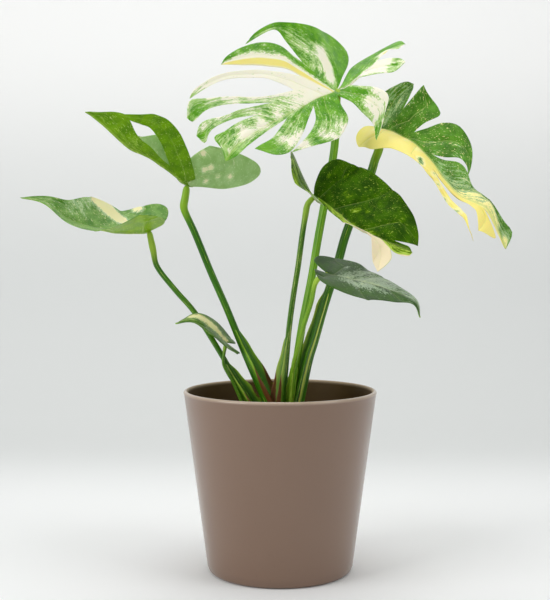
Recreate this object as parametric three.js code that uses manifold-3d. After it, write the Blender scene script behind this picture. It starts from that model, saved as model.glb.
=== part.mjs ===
// A variegated monstera in a glazed ceramic cover pot, in millimetres, +Z up.
// The origin is the centre of the pot's flat foot. Seven leaves stand on seven petioles that rise
// from one short stem in the soil. Plant positions are measured from the middle of the soil's surface,
// so the plant follows the pot when the pot's height or the soil's depth changes.
import * as THREE from 'three';
import { mergeVertices } from 'three/addons/utils/BufferGeometryUtils.js';
import Module from 'manifold-3d';

const wasm = await Module();
wasm.setup();

// ---------------------------------------------------------------- driving dimensions

const POT_HEIGHT = 178;
const POT_TOP_RADIUS = 95;
const POT_FOOT_RADIUS = 71;
const POT_WALL = 4.5;
const POT_FLOOR = 7;
const POT_FOOT_ROUND = 5; // radius of the turn from the foot into the wall
const SOIL_BELOW_RIM = 36;
const SOIL_CROWN = 2; // how much higher the soil stands in the middle than at the wall
const FIT_GAP = 0.3; // clearance between pieces that touch
const LEAF_THICKNESS = 0.8;
const STEM_RADIUS = 7;
const STEM_HEIGHT = 16;
const STEM_PLACE = [-6, 6];
const PLANT_SCALE = 1; // size of the whole plant above the soil

const ROUND_STEPS = 48; // facets round the pot
const PETIOLE_SIDES = 10;
const PETIOLE_STEPS = 15;
const ROWS_TO_CUT = 3; // rows of facets from the midrib to the cut between two lobes
const ROWS_PAST_CUT = 6; // rows from there to the lobe's tip
const COLUMNS = 2; // columns of facets between two root stations on the midrib
const RUN_SHARE = 0.1; // share of the midrib either side that the blade's run is averaged over

const SOIL_TOP = POT_HEIGHT - SOIL_BELOW_RIM;

// ---------------------------------------------------------------- materials

const finish = (color, roughness) =>
  new THREE.MeshStandardMaterial({ color, roughness, metalness: 0 });
const GLAZE = 0x8a7567;
const SOIL = 0x3a2a1c;
const STEM = 0x6d7a3c;

// ---------------------------------------------------------------- leaves
//
// A leaf is drawn flat: s runs along the midrib from the petiole's joint to the tip, v runs across,
// away from the midrib. spine is where the midrib really runs; its first points lie behind the joint,
// in the notch between the basal lobes, and joint says how many. A half's across gives, at shares of
// the midrib, the direction in which that half spreads and its curl (1/mm, positive curls it under).
// A lobe reads: the station on the midrib where its root ends, its edge from the last cut to the
// tip, its tip, its edge back from the tip to the next cut, and that cut. The first lobe starts at
// the joint; the last one runs down the midrib to the leaf's own tip and has no cut.
// left and right are as seen from above, looking from the joint to the tip.

const LEAVES = {
  top: {
    color: 0x4f9a26,
    spine: [[85, 72, 382], [68, 38, 354], [56, 5, 330], [36, -12, 319], [17, -32, 306],
      [-8, -58, 290], [-28, -80, 276], [-40, -93, 265], [-49, -98, 252]],
    joint: 2,
    right: {
      across: [[-0.3, [-0.2, 0.35, 0.95], -0.003], [0, [-0.2, 0.35, 0.9], -0.003],
        [0.5, [-0.35, 0.4, 0.8], -0.004], [1, [-0.4, 0.3, 0.8], -0.006]],
      lobes: [
        [3, [[-18, 2], [-45, 2], [-60, 8], [-62, 19], [-56, 33], [-44, 46], [-9, 71], [20, 83],
          [47, 84]], [67, 78], [[30, 78], [23, 62]], [18, 38]],
        [8, [[24, 48], [33, 62], [50, 73], [75, 77], [96, 75]], [107, 70], [[70, 56], [42, 40]],
          [29, 25]],
        [30, [[53, 42], [79, 55], [112, 62], [140, 63]], [150, 59], [[108, 55], [72, 43], [54, 27]],
          [48, 18]],
        [64, [[84, 26], [112, 37], [135, 48], [151, 58]], [162, 50], [[160, 43], [142, 41], [112, 29]],
          [80, 17]],
        [92, [[118, 25], [136, 28], [157, 37]], [167, 34], [[167, 24], [156, 26], [132, 21]],
          [106, 13]],
        [126, [[130, 16], [148, 17], [159, 20], [162, 9]], null, null, null]],
    },
    left: {
      across: [[-0.3, [0.85, -0.35, 0.25], -0.001], [-0.12, [0.8, -0.35, 0.05], -0.001],
        [0.05, [0.35, -0.35, -0.85], -0.001], [0.4, [0.3, -0.4, -0.85], -0.001],
        [1, [0.2, -0.5, -0.8], -0.001]],
      lobes: [
        [1.5, [[-14, 1], [-30, 2], [-46, 5], [-60, 18], [-73, 36], [-78, 48]], [-66, 58],
          [[-57, 53], [-61, 42], [-51, 36]], [-43, 33]],
        [3, [[-43, 44], [-38, 57]], [-31, 64], [[-21, 54], [-22, 36], [-20, 17]], [-11, 6]],
        [8, [[-12, 20], [-12, 36], [-9, 50], [-2, 53]], [10, 64], [[5, 50], [4, 34], [3, 18]],
          [7, 5]],
        [30, [[12, 16], [16, 31], [28, 41], [43, 45], [62, 42], [88, 37]], [106, 34],
          [[88, 31], [66, 25], [50, 17]], [40, 5]],
        [64, [[57, 13], [72, 21], [90, 29], [110, 33], [128, 27]], [140, 13],
          [[130, 13], [112, 13], [94, 8]], [79, 3]],
        [126, [[110, 5], [138, 7], [157, 7], [165, 3]], null, null, null]],
    },
  },
  right: {
    color: 0x3f7f2c,
    spine: [[86, 62, 311], [99, 43, 296], [109, 26, 292], [119, 11, 285], [131, -7, 275],
      [145, -27, 256], [154, -42, 239], [167, -54, 223], [181, -64, 216], [191, -70, 208],
      [205, -80, 174]],
    joint: 1,
    left: {
      across: [[-0.3, [0.1, 0.3, 0.9], 0.002], [0.1, [0.3, 0.35, 0.9], 0.002],
        [0.5, [0.55, 0.4, 0.7], 0.002], [1, [0.6, 0.5, 0.6], 0.002]],
      lobes: [
        [8, [[-10, 4], [-24, 12], [-28, 30], [-20, 46], [-8, 55]], [3, 57], [[11, 50], [17, 38]],
          [20, 25]],
        [26, [[21, 34], [22, 45]], [22, 57], [[34, 50], [50, 43], [56, 37], [51, 22]], [50, 9]],
        [60, [[58, 20], [64, 34], [74, 43], [88, 43], [104, 38], [118, 30]], [128, 21],
          [[116, 26], [104, 24], [96, 13]], [87, 5]],
        [160, [[98, 10], [108, 21], [122, 23], [146, 15], [157, 12], [172, 8], [188, 9], [201, 13]],
          null, null, null]],
    },
    right: {
      across: [[-0.3, [-0.7, -0.6, -0.2], 0.055], [0.1, [-0.5, -0.8, 0], 0.045],
        [0.3, [-0.4, -0.85, -0.15], 0.035],
        [0.5, [-0.3, -0.8, -0.4], 0.01], [1, [-0.3, -0.7, -0.6], 0.003]],
      lobes: [
        [40, [[-4, 4], [-7, 13], [-4, 25]], [6, 34], [[30, 34]], [58, 26]],
        [92, [[77, 22], [100, 18], [118, 15], [140, 19], [170, 32]], [202, 42],
          [[183, 35], [150, 16], [125, 9]], [100, 6]],
        [126, [[130, 5], [152, 7], [164, 11], [176, 18]], [192, 28], [[203, 12], [195, 8], [180, 6]],
          [168, 4]],
        [160, [[184, 3], [198, 3]], null, null, null]],
    },
  },
  centre: {
    color: 0x335c12,
    spine: [[19, 0, 251], [32, -30, 223], [50, -42, 211], [67, -52, 196], [91, -62, 184],
      [121, -70, 171]],
    joint: 1,
    left: {
      across: [[-0.3, [0.4, 0.4, 0.8], 0.002], [0, [0.4, 0.4, 0.8], 0.003],
        [1, [0.5, 0.5, 0.7], 0.003]],
      lobes: [
        [10, [[-16, 9], [-30, 22], [-30, 37]], [-14, 48], [[4, 54]], [23, 57]],
        [40, [[40, 59]], [58, 58], [[72, 55]], [84, 49]],
        [80, [[98, 38], [109, 22]], [114, 9], [[104, 7]], [92, 4]],
        [95, [[100, 4], [107, 4]], null, null, null]],
    },
    right: {
      across: [[-0.3, [-0.3, -0.75, 0.6], 0.001], [-0.1, [-0.3, -0.75, 0.5], 0.001],
        [0.08, [-0.3, -0.85, 0.2], 0.001], [0.62, [-0.3, -0.85, 0.1], 0.001],
        [0.76, [-0.2, -0.6, -0.7], 0.002], [1, [-0.1, -0.6, -0.7], 0.002]],
      lobes: [
        [10, [[-16, 8], [-31, 20], [-31, 36]], [-12, 48], [[6, 53]], [24, 56]],
        [40, [[38, 55], [52, 51]], [63, 45], [[70, 36], [74, 25]], [75, 13]],
        [80, [[80, 21], [87, 29]], [94, 34], [[97, 26], [98, 16]], [93, 7]],
        [95, [[98, 9], [105, 9], [111, 6]], null, null, null]],
    },
  },
  low_right: {
    color: 0x47663f,
    spine: [[26, -48, 157], [44, -55, 151], [62, -68, 147], [90, -78, 140], [107, -82, 134],
      [122, -86, 126], [127, -88, 112]],
    joint: 1,
    left: {
      across: [[-0.3, [0, 0.8, 0.6], 0.003], [0.3, [0.2, 0.9, 0.3], 0.004],
        [1, [0.2, 0.9, 0.15], 0.004]],
      lobes: [
        [12, [[-10, 5], [-20, 13], [-19, 24]], [-7, 32], [[8, 36]], [24, 37]],
        [44, [[38, 35]], [52, 30], [[60, 26]], [68, 21]],
        [78, [[80, 14], [92, 6]], null, null, null]],
    },
    right: {
      across: [[-0.3, [0.05, -0.9, 0.15], 0.003], [0.3, [0.05, -0.9, -0.3], 0.003],
        [1, [-0.2, -0.8, -0.6], 0.003]],
      lobes: [
        [12, [[-6, 4], [-9, 10], [-7, 18]], [0, 24], [[11, 30]], [24, 34]],
        [44, [[38, 35]], [52, 31], [[60, 26]], [68, 21]],
        [78, [[80, 14], [92, 6]], null, null, null]],
    },
  },
  upper_left: {
    color: 0x5f9416,
    spine: [[-75, 25, 223], [-91, 0, 235], [-104, -16, 246], [-124, -38, 260], [-140, -55, 267],
      [-162, -72, 287], [-176, -80, 298]],
    joint: 1,
    right: {
      across: [[-0.3, [0.85, 0.45, 0.25], 0.002], [0.1, [0.7, 0.6, 0.3], 0.002],
        [1, [0.5, 0.8, 0.15], 0.002]],
      lobes: [
        [20, [[-16, 8], [-40, 20], [-60, 38], [-66, 54], [-56, 61], [-38, 60], [-18, 54]], [2, 46],
          [[9, 34]], [15, 20]],
        [60, [[22, 29], [32, 34]], [44, 31], [[56, 23], [68, 17]], [80, 15]],
        [100, [[100, 16], [120, 8]], null, null, null]],
    },
    left: {
      across: [[-0.3, [0.2, -0.35, 0.9], 0.002], [1, [0.1, -0.4, 0.8], 0.002]],
      lobes: [
        [20, [[-9, 4], [-4, 11], [12, 20], [30, 29], [48, 37], [66, 40], [88, 37]], [106, 24],
          [[92, 27], [74, 27], [56, 19], [42, 11]], [31, 5]],
        [100, [[45, 6], [62, 10], [85, 15], [104, 21], [114, 17], [125, 7]], null, null, null]],
    },
  },
  left: {
    color: 0x5d8840,
    spine: [[-104, 9, 195], [-128, 0, 191], [-155, -10, 190], [-182, -20, 195], [-204, -30, 204],
      [-222, -36, 218], [-244, -42, 223]],
    joint: 1,
    right: {
      across: [[-0.3, [0, 0.8, 0.55], 0.002], [0.15, [0.2, 0.85, 0.45], 0.002],
        [0.45, [0.1, 0.75, 0.75], 0.002], [1, [0.1, 0.75, 0.5], 0.002]],
      lobes: [
        [14, [[-10, 5], [-22, 13], [-27, 26], [-20, 37]], [-4, 42], [[12, 44]], [30, 45]],
        [55, [[46, 44]], [62, 40], [[72, 35]], [82, 29]],
        [92, [[97, 17], [112, 7]], null, null, null]],
    },
    left: {
      across: [[-0.3, [-0.1, -0.9, 0.25], 0.002], [0.15, [-0.1, -0.85, 0.33], 0.002],
        [0.5, [0.1, -0.95, -0.04], 0.002], [1, [0.1, -0.95, -0.3], 0.002]],
      lobes: [
        [14, [[-6, 5], [-12, 13], [-11, 25]], [-2, 36], [[12, 42]], [28, 45]],
        [55, [[46, 45]], [62, 41], [[72, 36]], [82, 29]],
        [92, [[97, 17], [112, 7]], null, null, null]],
    },
  },
  small: {
    color: 0x4e7f36,
    spine: [[-43, 0, 75], [-53, -6, 83], [-67, -14, 98], [-83, -20, 108], [-101, -24, 103]],
    joint: 1,
    right: {
      across: [[-0.3, [0.3, 0.75, 0.1], 0.012], [1, [0.3, 0.8, 0.15], 0.012]],
      lobes: [
        [10, [[-7, 4], [-14, 10]], [-10, 16], [[0, 19]], [12, 19]],
        [40, [[28, 17], [45, 9]], null, null, null]],
    },
    left: {
      across: [[-0.3, [0.4, -0.8, -0.2], 0.008], [0.2, [0.2, -0.8, -0.3], 0.008],
        [1, [0.1, -0.7, -0.5], 0.008]],
      lobes: [
        [10, [[-7, 4], [-14, 10]], [-10, 16], [[0, 19]], [12, 19]],
        [40, [[28, 17], [45, 9]], null, null, null]],
    },
  },
};

// ---------------------------------------------------------------- petioles
//
// path runs from the foot in the soil to the leaf's joint; its last point is the joint itself.
// foot is the radius where the sheath wraps the stem, sheath the share of the length that the
// sheath takes up, shaft the radius above it, and knee the radius just under the blade.

const PETIOLES = {
  top: { foot: 5, sheath: 0.2, shaft: 3.9, knee: 3.6,
    path: [[8, 12, 0], [15, 11, 53], [22, 10, 99], [31, 9, 145], [37, 8, 182], [43, 7, 215],
      [53, 6, 271], [55, 5, 312]] },
  right: { foot: 5, sheath: 0.4, shaft: 4.5, knee: 4.1,
    path: [[14, 0, 0], [27, 9, 60], [34, 13, 83], [45, 18, 121], [57, 24, 157], [68, 30, 194],
      [92, 38, 251], [95, 39, 262], [101, 42, 278]] },
  centre: { foot: 4, sheath: 0.3, shaft: 2.8, knee: 2.8,
    path: [[-1, -22, 0], [5, -24, 57], [8, -25, 94], [12, -27, 126], [17, -28, 158],
      [21, -29, 188], [24, -29, 207], [26, -30, 217]] },
  low_right: { foot: 3.2, sheath: 0.4, shaft: 2.2, knee: 2.2,
    path: [[8, -17, 0], [12, -31, 58], [17, -37, 80], [22, -42, 101], [29, -48, 124],
      [32, -52, 140], [36, -54, 147]] },
  upper_left: { foot: 5.5, sheath: 0.45, shaft: 3.4, knee: 3.6,
    path: [[0, -10, 0], [-26, -8, 55], [-39, -6, 84], [-53, -5, 118], [-68, -3, 152],
      [-83, -2, 189], [-94, -1, 213], [-93, -1, 221]] },
  left: { foot: 5, sheath: 0.35, shaft: 2.7, knee: 3,
    path: [[-16, -4, 0], [-42, -3, 43], [-59, -2, 73], [-83, -2, 111], [-102, -1, 133],
      [-120, -1, 156], [-124, 0, 172]] },
  small: { foot: 2.2, sheath: 0.3, shaft: 1.5, knee: 1.6,
    path: [[-27, -11, 0], [-45, -10, 42], [-50, -10, 51], [-55, -9, 61], [-55, -8, 69]] },
};

// ---------------------------------------------------------------- geometry helpers

const vec = (p) => new THREE.Vector3(p[0], p[1], p[2]);
const mix = (a, b, t) => a + (b - a) * t;
const mixPoint = (a, b, t) => a.map((value, i) => mix(value, b[i], t));

// A smooth flat line through the points, cut into equal steps.
function smoothLine(points, steps) {
  const curve = new THREE.CatmullRomCurve3(points.map((p) => new THREE.Vector3(p[0], p[1], 0)),
    false, 'catmullrom', 0.5);
  curve.arcLengthDivisions = 12 * points.length;
  return curve.getSpacedPoints(steps).map((p) => [p.x, p.y]);
}

function straightLine(from, to, steps) {
  return Array.from({ length: steps + 1 }, (_, i) => mixPoint(from, to, i / steps));
}

// The bent blade: turns a flat (s, v) on one half into a point in space.
class Blade {
  constructor(leaf) {
    const points = leaf.spine.map((p) => vec(p).multiplyScalar(PLANT_SCALE));
    this.curve = new THREE.CatmullRomCurve3(points, false, 'catmullrom', 0.5);
    this.curve.arcLengthDivisions = 40 * (points.length - 1);
    const lengths = this.curve.getLengths();
    this.whole = lengths[lengths.length - 1];
    this.behind = lengths[40 * leaf.joint];
    this.length = this.whole - this.behind;
    this.leaf = leaf;
  }

  place(s, v, side) {
    const along = s * PLANT_SCALE;
    const across = v * PLANT_SCALE;
    const held = THREE.MathUtils.clamp(along, -this.behind, this.length);
    const u = THREE.MathUtils.clamp((held + this.behind) / this.whole, 0, 1);
    const point = this.curve.getPointAt(u).addScaledVector(this.curve.getTangentAt(u), along - held);
    if (across === 0) return point;
    const run = this.curve.getPointAt(Math.min(u + RUN_SHARE, 1))
      .sub(this.curve.getPointAt(Math.max(u - RUN_SHARE, 0))).normalize();
    const stations = this.leaf[side].across;
    const share = along / this.length;
    let k = 1;
    while (k < stations.length - 1 && share > stations[k][0]) k += 1;
    const [a, b] = [stations[k - 1], stations[k]];
    const t = THREE.MathUtils.clamp((share - a[0]) / (b[0] - a[0]), 0, 1);
    const spread = vec(a[1]).normalize().lerp(vec(b[1]).normalize(), t);
    spread.addScaledVector(run, -spread.dot(run)).normalize();
    const upper = new THREE.Vector3().crossVectors(run, spread);
    if (side === 'right') upper.negate();
    const curl = mix(a[2], b[2], t);
    const turn = curl * across;
    return point.addScaledVector(spread, Math.sin(turn) / curl)
      .addScaledVector(upper, -(1 - Math.cos(turn)) / curl);
  }
}

// Root stations on the midrib: every station of either half, with each gap divided evenly.
function rootStations(leaf) {
  const ends = ['left', 'right'].flatMap((side) => leaf[side].lobes.map((lobe) => lobe[0]));
  const marks = [...new Set([0, ...ends])].sort((a, b) => a - b);
  const stations = [0];
  for (let i = 1; i < marks.length; i += 1) {
    for (let j = 1; j <= COLUMNS; j += 1) stations.push(mix(marks[i - 1], marks[i], j / COLUMNS));
  }
  return stations;
}

// One blade as a sheet of triangles: every lobe is a grid between its two side edges.
function bladeSheet(leaf, blade) {
  const stations = rootStations(leaf);
  const rows = ROWS_TO_CUT + ROWS_PAST_CUT;
  const tip = [blade.length / PLANT_SCALE, 0];
  const points = [];
  const faces = [];
  const known = new Map();
  const add = (s, v, side) => {
    const key = `${v === 0 ? 'midrib' : side} ${s.toFixed(3)} ${v.toFixed(3)}`;
    if (!known.has(key)) {
      known.set(key, points.length);
      points.push(blade.place(s, v, side));
    }
    return known.get(key);
  };
  for (const side of ['left', 'right']) {
    let rootStart = 0;
    let cut = null;
    for (const [rootEnd, backPoints, lobeTip, frontPoints, nextCut] of leaf[side].lobes) {
      const end = lobeTip ?? tip;
      const back = cut
        ? [...straightLine([rootStart, 0], cut, ROWS_TO_CUT),
          ...smoothLine([cut, ...backPoints, end], ROWS_PAST_CUT).slice(1)]
        : smoothLine([[0, 0], ...backPoints, end], rows);
      const front = nextCut
        ? [...straightLine([rootEnd, 0], nextCut, ROWS_TO_CUT),
          ...smoothLine([end, ...frontPoints, nextCut], ROWS_PAST_CUT).reverse().slice(1)]
        : straightLine([rootEnd, 0], tip, rows);
      const roots = stations.filter((s) => s >= rootStart && s <= rootEnd);
      const grid = back.map((from, i) => roots.map((s) => {
        const share = (s - rootStart) / (rootEnd - rootStart);
        const flat = i === rows ? end : mixPoint(from, front[i], share);
        return add(flat[0], flat[1], side);
      }));
      for (let i = 0; i < rows; i += 1) {
        for (let j = 0; j + 1 < roots.length; j += 1) {
          const [a, b, c, d] = [grid[i][j], grid[i][j + 1], grid[i + 1][j + 1], grid[i + 1][j]];
          for (const face of [[a, b, c], [a, c, d]]) {
            if (new Set(face).size === 3) faces.push(side === 'left' ? face : face.reverse());
          }
        }
      }
      rootStart = rootEnd;
      cut = nextCut;
    }
  }
  return { points, faces };
}

// The edges of a sheet that only one face uses, in that face's order.
function openEdges(faces) {
  const open = new Map();
  for (const [a, b, c] of faces) {
    for (const [from, to] of [[a, b], [b, c], [c, a]]) {
      if (!open.delete(`${to} ${from}`)) open.set(`${from} ${to}`, [from, to]);
    }
  }
  return [...open.values()];
}

// Thickens a sheet by half on each side, moves its rim out by grow, and closes its edges.
function thicken(sheet, half, grow = 0) {
  const { faces } = sheet;
  const rim = openEdges(faces);
  const normals = sheet.points.map(() => new THREE.Vector3());
  for (const [a, b, c] of faces) {
    const normal = new THREE.Vector3().crossVectors(
      sheet.points[b].clone().sub(sheet.points[a]), sheet.points[c].clone().sub(sheet.points[a]));
    for (const i of [a, b, c]) normals[i].add(normal);
  }
  normals.forEach((normal) => normal.normalize());
  const outward = sheet.points.map(() => new THREE.Vector3());
  for (const [from, to] of rim) {
    const edge = sheet.points[to].clone().sub(sheet.points[from]).normalize();
    for (const i of [from, to]) outward[i].add(edge.clone().cross(normals[i]));
  }
  const points = sheet.points.map((p, i) => p.clone().addScaledVector(outward[i].normalize(), grow));
  const count = points.length;
  const position = [];
  for (const sign of [1, -1]) {
    points.forEach((p, i) => {
      const q = p.clone().addScaledVector(normals[i], sign * half);
      position.push(q.x, q.y, q.z);
    });
  }
  const index = [];
  for (const [a, b, c] of faces) index.push(a, b, c, a + count, c + count, b + count);
  for (const [from, to] of rim) {
    index.push(from, from + count, to + count, from, to + count, to);
  }
  return geometryOf(position, index);
}

function geometryOf(position, index) {
  const geometry = new THREE.BufferGeometry();
  geometry.setAttribute('position', new THREE.Float32BufferAttribute(position, 3));
  geometry.setIndex(index);
  return geometry;
}

// A stalk of round section along a curve, its radius given by radiusAt(share), closed at both ends.
function stalk(path, radiusAt, steps, sides) {
  const curve = new THREE.CatmullRomCurve3(path.map((p) => vec(p).multiplyScalar(PLANT_SCALE)),
    false, 'catmullrom', 0.5);
  const frames = curve.computeFrenetFrames(steps, false);
  const position = [];
  const index = [];
  for (let i = 0; i <= steps; i += 1) {
    const centre = curve.getPointAt(i / steps);
    const radius = radiusAt(i / steps);
    const across = i === 0 ? new THREE.Vector3(1, 0, 0) : frames.normals[i];
    const beside = i === 0 ? new THREE.Vector3(0, 1, 0) : frames.binormals[i];
    for (let j = 0; j < sides; j += 1) {
      const angle = (2 * Math.PI * j) / sides;
      const p = centre.clone().addScaledVector(across, radius * Math.cos(angle))
        .addScaledVector(beside, radius * Math.sin(angle));
      position.push(p.x, p.y, p.z);
    }
  }
  for (let i = 0; i < steps; i += 1) {
    for (let j = 0; j < sides; j += 1) {
      const [a, b] = [i * sides + j, i * sides + ((j + 1) % sides)];
      index.push(a, b, b + sides, a, b + sides, a + sides);
    }
  }
  const last = steps * sides;
  for (let j = 1; j + 1 < sides; j += 1) {
    index.push(0, j + 1, j, last, last + j, last + j + 1);
  }
  return geometryOf(position, index);
}

// three.js geometry to a manifold-3d solid and back.
function solidOf(geometry) {
  const bare = geometry.clone();
  bare.deleteAttribute('normal');
  bare.deleteAttribute('uv');
  const merged = mergeVertices(bare, 1e-4);
  return new wasm.Manifold(new wasm.Mesh({
    numProp: 3,
    vertProperties: new Float32Array(merged.attributes.position.array),
    triVerts: new Uint32Array(merged.index.array),
  }));
}

function geometryFrom(solid) {
  const mesh = solid.getMesh();
  return geometryOf(Array.from(mesh.vertProperties), Array.from(mesh.triVerts));
}

const largest = (solid) => solid.decompose().reduce((a, b) => (a.volume() > b.volume() ? a : b));

// ---------------------------------------------------------------- the pieces

function pot() {
  const slope = (POT_TOP_RADIUS - POT_FOOT_RADIUS) / POT_HEIGHT;
  const wallAt = (z) => POT_FOOT_RADIUS + slope * z;
  const lip = POT_WALL / 2;
  const round = POT_FOOT_ROUND;
  const profile = [[0, 0], [wallAt(0) - round, 0]];
  for (const angle of [30, 60, 90]) {
    const turn = THREE.MathUtils.degToRad(angle);
    profile.push([wallAt(round) - round * (1 - Math.sin(turn)), round * (1 - Math.cos(turn))]);
  }
  profile.push([wallAt(POT_HEIGHT * 0.5), POT_HEIGHT * 0.5], [wallAt(POT_HEIGHT - lip), POT_HEIGHT - lip]);
  profile.push([POT_TOP_RADIUS - lip * 0.5, POT_HEIGHT - lip * 0.25]);
  profile.push([POT_TOP_RADIUS - lip, POT_HEIGHT]);
  profile.push([POT_TOP_RADIUS - lip * 1.7, POT_HEIGHT - lip * 0.35]);
  profile.push([wallAt(POT_HEIGHT - lip * 2) - POT_WALL, POT_HEIGHT - lip * 2]);
  profile.push([wallAt(POT_FLOOR + round) - POT_WALL, POT_FLOOR + round]);
  profile.push([wallAt(POT_FLOOR) - POT_WALL - round, POT_FLOOR], [0, POT_FLOOR]);
  return lathe(profile);
}

// The soil fills the pot up to its level, a fit gap inside the wall and above the floor.
function soil() {
  const slope = (POT_TOP_RADIUS - POT_FOOT_RADIUS) / POT_HEIGHT;
  const inside = (z) => POT_FOOT_RADIUS + slope * z - POT_WALL - FIT_GAP;
  const bottom = POT_FLOOR + FIT_GAP;
  const edge = SOIL_TOP - SOIL_CROWN;
  return lathe([[0, bottom], [inside(bottom) - POT_FOOT_ROUND - 1, bottom],
    [inside(bottom + POT_FOOT_ROUND + 1) - 1, bottom + POT_FOOT_ROUND + 1], [inside(edge), edge],
    [inside(edge) * 0.6, SOIL_TOP], [0, SOIL_TOP]]);
}

function lathe(profile) {
  const geometry = new THREE.LatheGeometry(
    profile.map(([r, z]) => new THREE.Vector2(Math.max(r, 0), z)), ROUND_STEPS);
  geometry.rotateX(Math.PI / 2);
  return geometry;
}

function stem() {
  const [x, y] = STEM_PLACE;
  const taper = (t) => STEM_RADIUS * (1 - 0.35 * t * t);
  return stalk([[x, y, 0], [x, y, STEM_HEIGHT * 0.5], [x + 1, y, STEM_HEIGHT]], taper, 4, 14);
}

function petiole(name) {
  const { foot, sheath, shaft, knee, path } = PETIOLES[name];
  const leaf = LEAVES[name];
  const radiusAt = (t) => {
    const wrap = 1 - THREE.MathUtils.smoothstep(t, 0, sheath);
    const top = THREE.MathUtils.smoothstep(t, 0.85, 0.95);
    return mix(mix(shaft, knee, top), foot, wrap);
  };
  const tube = stalk([...path, leaf.spine[leaf.joint]], radiusAt, PETIOLE_STEPS, PETIOLE_SIDES);
  const clear = thicken(bladeSheet(leaf, new Blade(leaf)), LEAF_THICKNESS / 2 + FIT_GAP, FIT_GAP);
  return geometryFrom(largest(solidOf(tube).subtract(solidOf(clear))));
}

function leafBlade(name) {
  const leaf = LEAVES[name];
  return thicken(bladeSheet(leaf, new Blade(leaf)), LEAF_THICKNESS / 2);
}

// ---------------------------------------------------------------- assembly

const mesh = (name, geometry, material) => {
  const piece = new THREE.Mesh(geometry, material);
  piece.name = name;
  return piece;
};

const root = new THREE.Group();
root.add(mesh('pot', pot(), finish(GLAZE, 0.25)));
root.add(mesh('potting_soil', soil(), finish(SOIL, 0.95)));

const plant = new THREE.Group();
plant.position.z = SOIL_TOP + FIT_GAP;
plant.add(mesh('stem', stem(), finish(STEM, 0.6)));
for (const name of Object.keys(LEAVES)) {
  plant.add(mesh(`petiole_${name}`, petiole(name), finish(STEM, 0.5)));
  plant.add(mesh(`leaf_${name}`, leafBlade(name), finish(LEAVES[name].color, 0.4)));
}
root.add(plant);

export default root;
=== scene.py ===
# A variegated monstera in a glazed ceramic cover pot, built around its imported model.
# Metres, +Z up; the origin is the centre of the pot's flat foot and -Y is the front.
import math

import bpy
import numpy as np
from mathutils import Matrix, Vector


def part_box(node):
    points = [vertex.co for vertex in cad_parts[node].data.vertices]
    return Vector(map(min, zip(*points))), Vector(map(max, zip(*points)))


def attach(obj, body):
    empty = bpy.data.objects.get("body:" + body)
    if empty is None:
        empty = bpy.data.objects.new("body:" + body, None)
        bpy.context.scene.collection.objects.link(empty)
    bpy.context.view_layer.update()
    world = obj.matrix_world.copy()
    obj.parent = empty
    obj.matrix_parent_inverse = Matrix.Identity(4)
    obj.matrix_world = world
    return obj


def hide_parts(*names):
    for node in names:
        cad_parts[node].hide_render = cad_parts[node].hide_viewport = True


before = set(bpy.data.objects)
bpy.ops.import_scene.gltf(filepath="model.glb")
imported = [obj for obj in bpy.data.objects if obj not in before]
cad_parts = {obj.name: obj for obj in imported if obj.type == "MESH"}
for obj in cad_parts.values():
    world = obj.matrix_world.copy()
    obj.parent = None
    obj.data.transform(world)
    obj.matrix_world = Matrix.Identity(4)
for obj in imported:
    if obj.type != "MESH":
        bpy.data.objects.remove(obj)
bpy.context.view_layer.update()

# ------------------------------------------------------------------ the studio
# A seamless sweep of matt pale paper, lit by big soft boxes from above, the left and the right.
# The paper lets the eye through from behind, so that it never hides the plant.

MM = 0.001
CAMERA_PLACE = (-5 * MM, -1100 * MM, 315 * MM)
CAMERA_TILT = math.radians(87.46)
CAMERA_LENS = 67.4
SWEEP_START = 0.62  # how far behind the pot the paper starts to rise
SWEEP_RADIUS = 0.5
SWEEP_HEIGHT = 2.4
SWEEP_HALF_WIDTH = 3.5
SWEEP_FRONT = -3.5
SWEEP_STEPS = 24
ROOM_TONE = (0.88, 0.89, 0.885, 1)
ROOM_STRENGTH = 0.42
LIGHT_AIM = (0, 0, 0.3)
# Each soft box: its place, its width and height, and its power in watts.
SOFTBOXES = {
    "left_softbox": ((-1.5, -0.9, 1.1), (1.2, 1.4), 19),
    "right_softbox": ((1.5, -0.8, 1.2), (1.0, 1.4), 10),
    "top_softbox": ((0.1, 0.1, 1.9), (1.6, 1.4), 13),
}


def srgb(red, green, blue):
    """A colour given in 0 to 255 display values, as the linear colour a shader wants."""
    share = np.array([red, green, blue]) / 255
    linear = np.where(share <= 0.04045, share / 12.92, ((share + 0.055) / 1.055) ** 2.4)
    return (*linear.tolist(), 1.0)


def node(tree, kind, inputs=(), **settings):
    """Adds a shader node; inputs maps a socket's name or number to a value or to another node's output."""
    made = tree.nodes.new(kind if kind.startswith("Node") else "ShaderNode" + kind)
    for key, value in settings.items():
        setattr(made, key, value)
    for key, value in dict(inputs).items():
        if isinstance(value, bpy.types.NodeSocket):
            tree.links.new(value, made.inputs[key])
        else:
            made.inputs[key].default_value = value
    return made


def calc(tree, operation, *values):
    """The output of a Math node on the values."""
    return node(tree, "Math", dict(enumerate(values)), operation=operation).outputs[0]


def blend_colour(tree, factor, first, second):
    """The output of a colour mix."""
    return node(tree, "Mix", {0: factor, 6: first, 7: second}, data_type="RGBA").outputs[2]


def ramp(tree, value, low, high, start=0.0, end=1.0):
    """value eased from start at low to end at high."""
    return node(tree, "MapRange", {0: value, 1: low, 2: high, 3: start, 4: end},
                interpolation_type="SMOOTHSTEP").outputs[0]


def new_material(name):
    """An empty material, with its tree and its output node."""
    material = bpy.data.materials.new(name)
    material.use_nodes = True
    material.node_tree.nodes.clear()
    return material, material.node_tree, node(material.node_tree, "OutputMaterial")


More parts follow.
